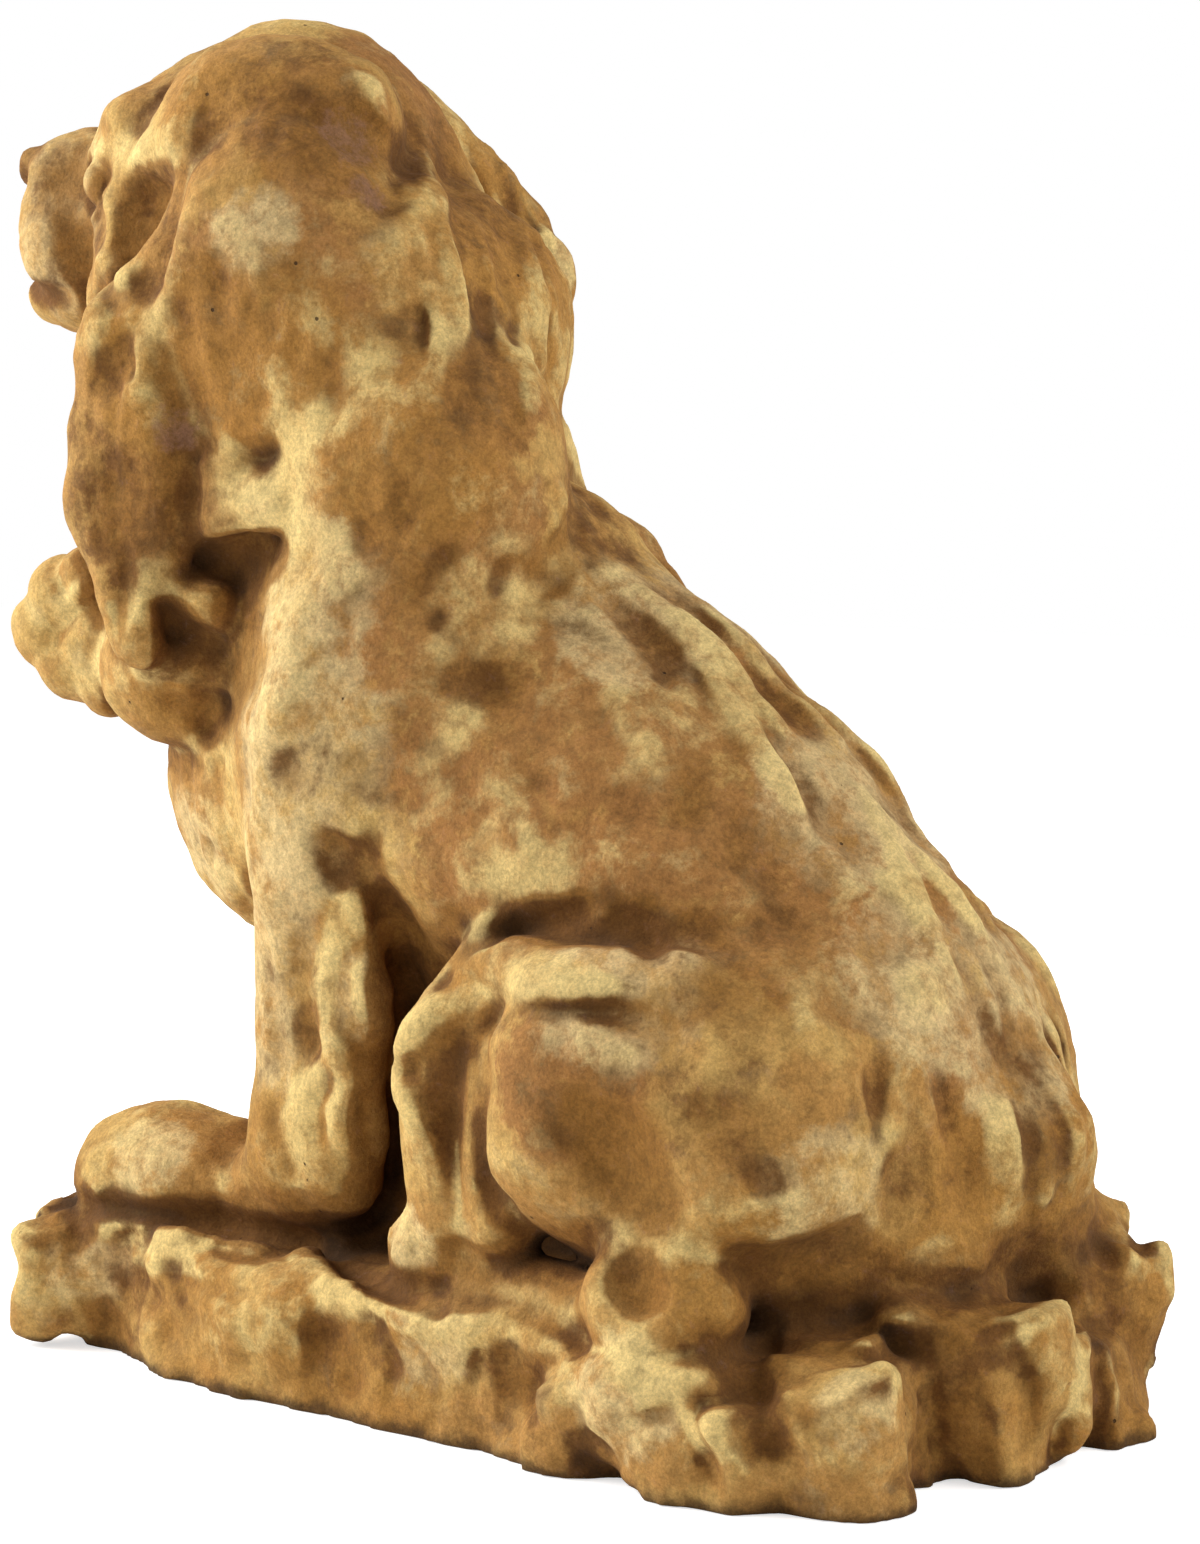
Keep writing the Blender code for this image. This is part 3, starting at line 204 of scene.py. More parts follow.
# Where the finish differs, and where light is painted on it: each tint's stains, by pixel of
# the photograph's frame and radius in millimetres.
STAINS = {
    "rusty": (
        (600, 770, 75), (430, 570, 45), (840, 880, 55), (700, 660, 45), (1000, 1080, 32),
        (560, 1080, 28), (400, 90, 34), (250, 320, 44), (330, 130, 30), (480, 380, 30),
        (520, 230, 26), (300, 420, 34), (150, 520, 26),
    ),
    # Ochre: partly own tone, partly painted warm light, mostly on the lower parts.
    "golden_and_warm_light": (
        (265, 1010, 20), (285, 1150, 24), (1020, 1190, 42), (960, 1310, 34), (560, 1210, 22),
        (520, 300, 50), (500, 180, 36), (1120, 1330, 44), (200, 1330, 30), (140, 690, 22),
        (480, 990, 22), (330, 1340, 30), (390, 110, 40), (160, 380, 30), (390, 1380, 26),
        (250, 360, 44), (400, 420, 44), (220, 120, 30), (760, 1290, 40), (600, 1150, 26),
        (1040, 1430, 30),
    ),
    # Chalk: partly pale patches, partly painted highlight, as on the lit muzzle.
    "chalk_and_highlight": (
        (310, 590, 30), (290, 740, 38), (250, 230, 18), (255, 500, 14), (620, 975, 34),
        (830, 1200, 26), (350, 1000, 20), (410, 1240, 14), (430, 1335, 20), (860, 1410, 16),
        (910, 1365, 18), (720, 610, 34), (890, 800, 36), (150, 1150, 18), (90, 1250, 22),
        (620, 1400, 24), (1010, 960, 34), (275, 840, 30), (262, 930, 26), (262, 1030, 22),
        (48, 200, 38), (40, 270, 24), (620, 640, 22), (200, 850, 26), (1000, 1060, 26),
    ),
    "plum": (
        (350, 140, 13), (372, 190, 9), (175, 430, 10),
    ),
}

HEAD_CENTRE = (0, -118, 345)
HEAD_TURN = 15

# The head's masses, from the skull's centre, face towards -Y: centre and radii, then turn
# and join where they aren't straight and soft. The paired ones are on both sides.
HEAD_MASSES = (
    ((0, 0, 0), (56, 58, 58)),
    ((0, -34, 4), (38, 24, 36)),
    ((0, -60, 0), (25, 30, 26)),
    ((0, -69, 11), (23, 20, 18), NO_TURN, FIRM_JOIN),
    ((0, -66, -22), (18, 22, 14), NO_TURN, FIRM_JOIN),
    ((0, -85, 17), (14, 10, 9), NO_TURN, TIGHT_JOIN),
    ((0, 10, 0), (50, 34, 50)),
    ((46, 20, 22), (28, 38, 28)),
)
PAIRED_HEAD_MASSES = (
    ((27, -33, 25), (19, 15, 13), (0, 0, 20), FIRM_JOIN),
    ((34, -26, -22), (20, 24, 30)),
    ((13, -64, -8), (16, 21, 23), NO_TURN, FIRM_JOIN),
    ((70, 30, -28), (19, 36, 52), (0, 4, 0), FIRM_JOIN),
    ((64, -14, -56), (15, 24, 36), (8, 0, 0), FIRM_JOIN),
    ((68, -12, -92), (9, 16, 20), NO_TURN, FIRM_JOIN),
)
# Rolls: points with their radius.
EAR_ROOT = ((44, 16, 30, 16), (58, 26, 14, 18), (66, 30, -6, 17))
EAR_REAR = (
    (40, 28, 22, 12), (56, 40, 8, 15), (66, 46, -12, 15), (69, 49, -36, 15),
    (68, 44, -58, 13),
)
EAR_LOCK = (
    (62, 4, 6, 11), (66, -4, -18, 12), (60, -22, -44, 14), (58, -31, -66, 15),
    (62, -30, -90, 14), (68, -22, -112, 11), (71, -16, -128, 8),
)

# The body's masses, from the statue's origin.
BODY_MASSES = (
    ((0, -84, 178), (58, 69, 62)),
    ((0, -4, 165), (72, 70, 72)),
    ((0, 38, 140), (72, 62, 64)),
    ((0, 66, 92), (84, 72, 72)),
    ((0, -75, 266), (54, 48, 58)),
    ((0, -67, 308), (50, 42, 48)),
    ((4, -112, 278), (54, 44, 44)),
    ((0, -20, 80), (44, 80, 76)),
    ((6, -94, 252), (56, 48, 28)),
    ((16, -112, 226), (48, 42, 34)),
    ((0, -100, 38), (66, 72, 12)),
    ((18, -80, 330), (34, 26, 28)),
    ((30, -54, 300), (40, 36, 50)),
    ((-24, -86, 296), (34, 30, 46)),
    ((36, -30, 262), (38, 36, 46)),
    ((-30, -78, 262), (34, 32, 44)),
    ((0, 84, 66), (72, 58, 52)),
)
PAIRED_BODY_MASSES = (
    ((46, -46, 196), (34, 48, 62)),
    ((58, 71, 90), (40, 53, 48)),
    ((82, 46, 98), (20, 25, 34)),
    ((86, 80, 46), (18, 24, 20), NO_TURN, FIRM_JOIN),
    ((44, -120, 52), (25, 34, 19), NO_TURN, FIRM_JOIN),
    ((43, -142, 52), (24, 20, 17)),
    ((64, 24, 31), (26, 60, 12)),
)
BACK = ((0, -27, 222, 42), (0, 2, 188, 41), (0, 34, 156, 45), (0, 62, 126, 52))
TAIL = ((-12, 126, 80, 27), (-22, 128, 60, 22), (-40, 128, 48, 18), (-62, 112, 44, 14))
FORELEG = (
    (50, -51, 190, 34), (50, -55, 150, 28), (49, -60, 120, 25), (49, -64, 90, 23),
    (49, -70, 64, 22), (47, -84, 52, 17),
)
FORELEG_FEATHER = ((60, -38, 150, 9), (65, -38, 124, 10), (64, -44, 90, 10), (60, -50, 62, 10))
BELLY_CURL = ((70, 12, 128, 11), (76, 1, 110, 13), (76, 0, 86, 13), (76, 4, 62, 12))
BELLY_LOBE = ((74, 20, 116, 10), (78, 20, 90, 12), (78, 22, 62, 11))
FLANK_FOLD = ((74, 18, 132, 8), (80, 46, 130, 9), (72, 76, 128, 13))
HIND_FOOT = ((74, -6, 48, 12), (74, 8, 44, 9), (77, 30, 43, 8), (81, 50, 44, 9), (86, 66, 46, 9))

COLLAR_CENTRE = (0, -86, 260)
COLLAR_RADII = (65, 54)
COLLAR_TILT = 12
COLLAR_HALF_HEIGHT = 12
COLLAR_HALF_THICKNESS = 5
COLLAR_ROUND = 3
BOW_KNOT = ((0, -160, 216), (14, 16, 18), NO_TURN, FIRM_JOIN)
# The bow's loop is a fan of pleats, each a roll from the knot to one of these ends.
BOW_GATHER = (14, -152, 218, 12)
BOW_PLEATS = (
    (47, -157, 235, 10), (45, -170, 229, 11), (43, -179, 217, 12), (41, -171, 206, 11),
    (41, -155, 200, 10), (42, -138, 197, 10),
)
BOW_RIBBON = ((54, -124, 238, 7), (62, -108, 232, 9), (62, -95, 228, 7))
BOW_FOOT = ((48, -122, 206), (18, 26, 23), NO_TURN, FIRM_JOIN)
BOW_FAN = ((36, -158, 216), (16, 23, 25), NO_TURN, FIRM_JOIN)

# The rock base: the slab's outline and thickness, then the rocks: centre, size, turn.
SLAB_TOP = 37
SLAB_ROUND = 7
SLAB_OUTLINE = (
    (68, -147), (88, -68), (94, 10), (98, 80), (86, 126), (54, 143), (10, 150), (-36, 146),
    (-74, 126), (-90, 76), (-92, 0), (-86, -70), (-76, -134), (-50, -168), (-6, -176), (34, -168),
)
ROCKS = (
    ((55, -151, 24), (44, 41, 44), (0, 0, 24)),
    ((84, 88, 18), (48, 50, 40), (6, 0, -12)),
    ((88, 60, 12), (40, 30, 34), (0, 10, -20)),
    ((72, 128, 18), (52, 44, 42), (0, 6, 24)),
    ((82, 112, 10), (44, 40, 40), (10, 0, 40)),
    ((30, 142, 22), (50, 40, 48), (-8, 0, 6)),
    ((2, 147, 16), (36, 34, 44), (0, 0, 20)),
    ((-34, 143, 24), (44, 38, 46), (8, 0, -10)),
    ((-56, 130, 36), (28, 30, 32), (20, 10, 10)),
    ((-22, 149, 14), (44, 34, 38), (0, 0, 14)),
    ((-68, 108, 22), (44, 56, 46), (0, -6, 30)),
    ((-88, 56, 20), (34, 54, 40), (0, 6, 0)),
    ((-84, -20, 19), (36, 60, 40), (0, -5, 4)),
    ((-66, -150, 20), (40, 44, 44), (4, 0, -24)),
)
# How round a rock's edges are, how many planes strike off its corners, and how far out
# from its centre they lie, as a share of the way to the corner.
ROCK_ROUND = 5.5
ROCK_FACETS = 9
ROCK_FACET_SHARE = (0.62, 0.88)
# Natural unevenness of the rocks and of the dog: (size, height), in millimetres. It moves
# what lies within so many grid spacings of the surface, by chance values on a lattice with
# so many points a side, which repeats beyond them.
ROCK_WANDER = ((24, 3.6), (11, 2.0), (5, 0.9))
DOG_WANDER = ((26, 2.2), (13, 1.1), (6, 0.5), (3.2, 0.25))
DOG_SEED = 10
WANDER_REACH = 4
LATTICE = 32

# Strokes are drawn as seen in the photograph, by pixels of the 1200 by 1544 frame. Each is
# (radius, depth, pixels), in millimetres: it presses a soft groove of that depth, or raises
# a ridge where the depth is negative, along the surface that the camera sees there.
HEAD_STROKES = (
    # Eye, brow and cheek.
    (9, -4.5, ((120, 176), (146, 160), (168, 142), (192, 132), (206, 136))),
    (8, 4.6, ((134, 196), (148, 204), (158, 212))),
    (5, 3, ((146, 222), (146, 240))),
    (5, 2.4, ((122, 236), (130, 250), (142, 262))),
    (5, -1.8, ((104, 196), (110, 220), (110, 244))),
    (5, -1.8, ((96, 256), (112, 266), (122, 280))),
    (4.5, 2.6, ((138, 266), (140, 280), (136, 294))),
    (5, 3, ((104, 284), (114, 300), (122, 316))),
    (5, -2, ((84, 286), (94, 310), (104, 334))),
    # The ear's front edge, its slits, pits and lower edge.
    (5.5, 3.6, ((178, 192), (168, 226), (160, 262), (154, 290), (146, 316))),
    (5, 2.8, ((140, 326), (124, 346), (114, 372), (108, 403))),
    (7, -3, (
        (198, 196), (188, 226), (178, 262), (172, 290), (164, 316), (150, 340), (138, 370),
        (130, 410))),
    (3, 1.3, ((219, 194), (221, 204))),
    (3.4, 1.4, ((204, 228), (190, 236))),
    (3, 1.3, ((172, 297), (183, 312))),
    (12, -5, ((304, 466), (306, 500), (300, 532))),
    (10, -3, ((330, 440), (334, 490), (326, 540))),
    (8, 1.7, ((200, 458), (230, 462), (262, 463), (300, 456))),
    (10, -1.4, ((215, 420), (262, 430), (312, 420))),
    (6, -3.4, ((212, 455), (222, 453), (234, 451))),
    (10, 2.4, ((206, 336), (236, 352), (262, 350))),
    (10, 2, ((290, 250), (300, 300), (290, 350))),
    # The crown's hairline and the locks of the nape.
    (6, 1.8, ((289, 103), (312, 128), (340, 158), (336, 185), (328, 209))),
    (5, 1.8, ((360, 206), (395, 198), (408, 170), (415, 138))),
    (7, -2.5, ((427, 155), (428, 212))),
    (6, -2, ((407, 196), (408, 240))),
    (7, -2.5, ((379, 219), (395, 250), (408, 277), (399, 298))),
    (6, 2.4, ((435, 103), (455, 160), (470, 221), (480, 298))),
    (7, 1.2, ((404, 300), (402, 350), (390, 400))),
    (8, -2.2, ((440, 240), (446, 320), (440, 400))),
    (5, 1.8, ((451, 346), (452, 421))),
    (5, 2, ((500, 150), (512, 215), (518, 300))),
    (7, -2.2, ((530, 200), (540, 280), (540, 360))),
    (5, 1.8, ((500, 340), (506, 400), (520, 450))),
)
BODY_STROKES = (
    # Collar, the bow's pleats and the knobs between bow and chest.
    (3.5, 2.2, ((192, 470), (187, 498), (184, 525))),
    (6, -2, ((206, 480), (250, 488), (300, 484))),
    (6, -2, ((206, 510), (250, 516), (300, 512))),
    (8, 1.4, ((170, 546), (205, 556), (250, 560), (288, 552))),
    (3.4, 1.2, ((84, 566), (70, 584), (56, 600))),
    (3.6, 1.5, ((96, 596), (78, 618), (60, 638))),
    (4.5, -1.5, ((94, 580), (72, 602), (50, 620))),
    (4.5, -1.5, ((104, 612), (86, 632), (66, 652))),
    (4, 2, ((126, 570), (124, 610), (116, 640))),
    (6, -1.8, ((146, 560), (146, 620), (144, 690))),
    (5, 1.2, ((160, 600), (170, 624), (178, 644))),
    (6, 1, ((185, 606), (208, 616), (236, 625))),
    (10, -2.4, ((190, 590), (205, 620), (215, 650))),
    (8, -2.4, ((160, 676), (188, 680))),
    (6, -2, ((200, 668), (220, 676))),
    (3, 2.2, ((161, 700), (188, 706))),
    (3, 2.2, ((203, 703), (205, 729))),
    (6, -2, ((205, 746), (217, 748))),
    (9, 1.8, ((262, 600), (250, 640), (236, 690), (230, 740))),
    # The shoulder's edge and the folds on the side.
    (9, -4, ((352, 566), (303, 625), (281, 695), (268, 740), (262, 790))),
    (3, 2, ((441, 564), (462, 540))),
    (6, 2, ((418, 700), (469, 686), (524, 676))),
    (6, 2.2, ((500, 756), (530, 770), (544, 788), (526, 806))),
    (6, 2.4, ((620, 812), (652, 822), (690, 808), (700, 780), (692, 740))),
    (6, 2.2, ((738, 800), (738, 836), (716, 866))),
    (4.5, 3.2, ((446, 958), (500, 934), (550, 920), (584, 908), (607, 892))),
    (4.5, 3, ((614, 890), (622, 916), (648, 930), (652, 950), (672, 962))),
    (5, 1.4, ((781, 821), (804, 853), (832, 899))),
    (5, 1.4, ((799, 793), (841, 834), (859, 867))),
    (5, 1.3, ((721, 642), (767, 692), (813, 729))),
    (14, -4, ((430, 650), (490, 640), (540, 650))),
    (14, -4, ((560, 760), (610, 780), (665, 770))),
    (14, -4, ((430, 850), (500, 870), (560, 850))),
    (10, -3, ((640, 870), (700, 900), (760, 900))),
    # Elbow, the dark channel behind the foreleg and the feather's curls.
    (6, 4.3, ((326, 836), (336, 856), (342, 884))),
    (4, 2.8, ((379, 827), (368, 850), (360, 880))),
    (7, 5, ((376, 872), (386, 910), (410, 944), (446, 962))),
    (6, 4.3, ((392, 925), (404, 965), (404, 1000))),
    (5, 3.6, ((430, 965), (450, 985))),
    (5, 3.6, ((388, 1080), (394, 1120), (392, 1165))),
    (5, -2.4, ((352, 880), (364, 912), (386, 944))),
    (5, -3.2, (
        (356, 930), (330, 946), (320, 985), (324, 1028), (340, 1062), (364, 1078),
        (388, 1074))),
    (3, 1.6, ((350, 956), (342, 990), (346, 1024), (364, 1052))),
    (4, -2.4, ((372, 950), (362, 973), (364, 996), (376, 1018), (390, 1034))),
    (5, -3, ((326, 1050), (308, 1081), (304, 1112), (310, 1146), (332, 1176))),
    (3, 1.6, ((330, 1074), (322, 1106), (326, 1140), (338, 1160))),
    (4, -2.4, ((348, 1084), (342, 1112), (346, 1140), (360, 1170))),
    (3, 1.5, ((362, 1096), (360, 1124), (366, 1150))),
    (4, -2.8, ((376, 1100), (378, 1130), (378, 1164))),
    # Belly curl, thigh and hind foot.
    (5, -4.4, (
        (480, 1012), (440, 1014), (412, 1030), (400, 1056), (402, 1086), (416, 1116),
        (426, 1146), (436, 1176))),
    (5, 1.4, ((440, 1056), (438, 1090), (446, 1130), (454, 1160))),
    (2.4, 1.7, ((411, 1062), (411, 1070))),
    (4.2, 2.6, ((484, 1060), (480, 1110), (482, 1160), (492, 1210))),
    (3.6, 2.6, ((470, 1046), (490, 1026), (526, 1012), (580, 1008), (650, 1016))),
    (6, -3.6, ((480, 962), (510, 978), (560, 988), (640, 994))),
    (9, 6.4, ((556, 1118), (590, 1122), (620, 1140), (636, 1160))),
    (9, 6, ((594, 1150), (616, 1184), (646, 1206), (668, 1212))),
    (9, -4, (
        (584, 1200), (616, 1228), (652, 1244), (684, 1240), (704, 1216), (704, 1190),
        (688, 1168))),
    (7, 4, ((700, 1130), (730, 1126), (762, 1134))),
    (7, 4, ((730, 1166), (766, 1184), (800, 1168))),
    (9, -4, ((750, 1212), (810, 1210), (860, 1190))),
    (7, 4, ((740, 1262), (800, 1262), (860, 1236))),
    (7, -3, ((606, 1256), (598, 1282), (604, 1308), (624, 1328), (650, 1334), (680, 1316))),
    (6.5, 4.6, ((622, 1264), (634, 1284), (640, 1300))),
    (6.5, 4.6, ((632, 1272), (640, 1290))),
    (2.6, 1.8, ((396, 1232), (390, 1262))),
    (2.6, 1.8, ((418, 1228), (414, 1262))),
    (5, -2.4, ((404, 1200), (400, 1226))),
    (2.6, 2.4, ((916, 1032), (944, 1091), (967, 1170), (976, 1238))),
    (2.8, 2.6, ((971, 977), (1017, 1078), (1031, 1147), (1031, 1238))),
    (2.6, 2.2, ((879, 1064), (875, 1150))),
    (4, 6, ((710, 1339), (801, 1349), (870, 1353), (962, 1330), (1031, 1298), (1072, 1271))),
)
ROCK_STROKES = (
    # The ledge's lip and the dark crevice past its end.
    (4, -2.4, (
        (70, 1222), (130, 1224), (188, 1240), (286, 1258), (347, 1290), (416, 1325),
        (470, 1340))),
    (4, 3.4, ((90, 1206), (188, 1216), (300, 1240), (380, 1290), (440, 1312))),
    (7, 8, ((500, 1350), (520, 1380), (524, 1410))),
    (3, 3, ((480, 1356), (470, 1400), (486, 1450))),
    # Cracks down the ledge's face.
    (2.8, 2.6, ((76, 1222), (72, 1260), (84, 1302))),
    (2.6, 2.4, ((121, 1236), (116, 1270), (128, 1306))),
    (3, 2, ((150, 1262), (220, 1290), (290, 1300))),
    (3.4, 2.4, ((300, 1280), (318, 1330), (312, 1372))),
    (2.6, 2.2, ((382, 1330), (392, 1370), (384, 1410))),
    (2.4, 1.8, ((420, 1350), (436, 1390), (430, 1430))),
    (6, -2, ((200, 1300), (240, 1330), (300, 1350))),
    # Between the boulders.
    (4.4, 6, ((742, 1350), (760, 1384), (762, 1420), (784, 1452))),
    (3.6, 5, ((786, 1362), (850, 1362), (890, 1352))),
    (2.6, 4, ((932, 1376), (938, 1420), (934, 1474))),
    (3.2, 5, ((1000, 1322), (1022, 1360), (1032, 1400), (1024, 1450))),
    (3.2, 5, ((1078, 1262), (1110, 1300), (1140, 1350))),
    (4, 3, ((800, 1420), (830, 1436), (860, 1432))),
    (3, 2.4, ((600, 1400), (640, 1420), (690, 1410))),
    (3, 2.4, ((570, 1430), (600, 1450), (620, 1480))),
    (5, -2.4, ((570, 1370), (620, 1384), (690, 1380))),
)
# Combed hair: (side, radius, depth, strokes, first guide, last guide). The strokes lie
# between the two guides, each over its own stretch of them.
HAIR = (
    ("head", 2.6, 2.0, 15, ((338, 66), (384, 140), (404, 220), (420, 330), (430, 440)),
     ((440, 104), (520, 170), (556, 260), (556, 340), (560, 430))),
    ("head", 2.4, 1.8, 9, ((92, 330), (82, 400), (86, 480), (104, 560), (112, 640)),
     ((148, 340), (140, 400), (134, 470), (130, 540), (120, 625))),
    ("head", 3.0, 1.2, 12, ((200, 214), (190, 280), (186, 340), (196, 390), (216, 436)),
     ((330, 214), (342, 280), (344, 340), (340, 390), (322, 440))),
    ("head", 2.6, 1.4, 10, ((190, 60), (150, 76), (124, 110), (112, 150), (104, 190)),
     ((330, 50), (318, 96), (322, 130), (330, 160), (326, 205))),
    ("body", 3.2, 1.6, 14, ((352, 480), (340, 520), (330, 560), (310, 600), (296, 650)),
     ((584, 470), (600, 520), (610, 560), (590, 610), (560, 650))),
    ("body", 4.0, 1.5, 30, ((560, 560), (640, 640), (700, 740), (760, 860), (800, 980)),
     ((640, 540), (780, 680), (900, 820), (1000, 940), (1056, 1060))),
    ("body", 4.0, 1.5, 16, ((740, 960), (760, 1060), (770, 1150), (770, 1240), (780, 1320)),
     ((1040, 1000), (1076, 1080), (1086, 1150), (1080, 1200), (1040, 1280))),
    ("body", 2.6, 1.4, 8, ((252, 900), (262, 980), (262, 1040), (254, 1100), (250, 1150)),
     ((310, 900), (304, 960), (300, 1030), (296, 1090), (296, 1160))),
    ("body", 3.0, 1.6, 9, ((176, 740), (176, 790), (192, 850), (214, 900), (240, 930)),
     ((262, 740), (262, 790), (262, 840), (268, 880), (270, 920))),
    ("body", 5.0, 1.4, 14, ((300, 700), (330, 740), (400, 800), (430, 860), (470, 900)),
     ((520, 560), (600, 640), (640, 720), (690, 800), (720, 900))),
    ("body", 5.0, 1.2, 12, ((520, 1040), (520, 1090), (530, 1140), (550, 1180), (570, 1210)),
     ((720, 1010), (740, 1060), (740, 1110), (730, 1160), (720, 1200))),
)
HAIR_SEED = 7
# The shares of its own strip that a combed stroke may lie at, and of the guides' length
# that it may cover; its points, and by how many pixels they stray; how many of the strokes
# are pressed in, not raised; and the shares of the depth that they may have.
HAIR_PLACE = (0.1, 0.9)
HAIR_LENGTH = (0.12, 0.35)
HAIR_POINTS = 5
HAIR_STRAY = 2.5
HAIR_CUTS = 0.6
HAIR_DEPTH = (0.6, 1.2)

# The grooves between the toes, which the photograph doesn't show, on both sides.
TOE_RADIUS = 2.4
TOE_SOFTNESS = 0.6 * TOE_RADIUS
TOE_GROOVES = (
    ((36, -168, 66), (37, -172, 50), (36, -168, 38)),
    ((51, -167, 66), (53, -170, 50), (52, -166, 38)),
)
# The face, from the skull's centre: the eyeball's mass, then what is pressed in, or out
# where the depth is negative: width, depth, path.
EYE = ((30, -46, 9), (8, 8, 8), NO_TURN, TIGHT_JOIN)
SOCKET = (8, 5, ((22, -54, 9), (30, -54, 8), (38, -47, 8)))
NOSTRIL = (3.2, 7, ((6, -95, 15), (10, -93, 18)))
NOSE_EDGE = (3, 6, ((0, -94, 6), (8, -91, 7), (14, -84, 12)))
MOUTH = (3.2, 7, ((0, -94, 2), (0, -93, -9), (9, -89, -18), (17, -80, -24), (24, -68, -26)))
CHEEK = (7, 3.4, ((24, -66, 12), (28, -60, -4), (31, -54, -18)))
FURROW = (5, 0.9, ((0, -52, 32), (0, -56, 24)))
UPPER_LID = (4, -3.4, ((19, -53, 12), (24, -55, 18), (32, -54, 20), (40, -45, 16)))
LOWER_LID = (3.6, -2.6, ((20, -53, 4), (27, -54, -1), (35, -51, -1), (41, -43, 5)))
FACE = (SOCKET, NOSTRIL, NOSE_EDGE, MOUTH, CHEEK, FURROW, UPPER_LID, LOWER_LID)
# How many steps carry the points of such a path onto the rough surface.
SETTLING_STEPS = 3


def turn_matrix(turn):
    """The 3x3 matrix of rotations about X, then Y, then Z, in degrees."""
    matrix = np.eye(3)
    for axis, angle in enumerate(turn):
        c = math.cos(math.radians(angle))
        s = math.sin(math.radians(angle))
        step = np.eye(3)
        i, j = ((1, 2), (2, 0), (0, 1))[axis]
        step[i, i] = step[j, j] = c
        step[i, j] = -s
        step[j, i] = s
        matrix = step @ matrix
    return matrix


HEAD_MATRIX = turn_matrix((0, 0, HEAD_TURN))


def from_head(point):
    """A point given from the skull's centre, in the statue's own place."""
    return HEAD_MATRIX @ np.array(point, float) + np.array(HEAD_CENTRE, float)


def mirrored(path):
    """The same path on the dog's right side."""
    return tuple((-point[0], *point[1:]) for point in path)


def mirrored_mass(centre, radii, turn=NO_TURN, softness=SOFT_JOIN):
    """The same mass on the dog's right side."""
    return (-centre[0], *centre[1:]), radii, (turn[0], -turn[1], -turn[2]), softness


def mirrored_points(points, side):
    """An array of points carried to the other side of the head or of the body."""
    flip = np.array((-1, 1, 1))
    if side == "head":
        local = (points - np.array(HEAD_CENTRE)) @ HEAD_MATRIX
        return (local * flip) @ HEAD_MATRIX.T + np.array(HEAD_CENTRE)
    return points * flip


def rounded(over, rounding):
    """The distance to a form with rounded edges, from how far each point is past each pair
    of its faces, once they are moved in by the rounding: the root of the squares' sum
    where it is outside, else the greatest, less the rounding."""
    outside = np.sqrt(sum(np.maximum(part, 0) ** 2 for part in over))
    inside = over[0]
    for part in over[1:]:
        inside = np.maximum(inside, part)
    return outside + np.minimum(inside, 0) - rounding


def fillet(first, second, softness):
    """What a round fillet takes off where two distances meet: a quarter of softness times
    the square of how near they are to each other."""
    near = np.maximum(softness - np.abs(first - second), 0) / softness
    return near * near * softness / 4


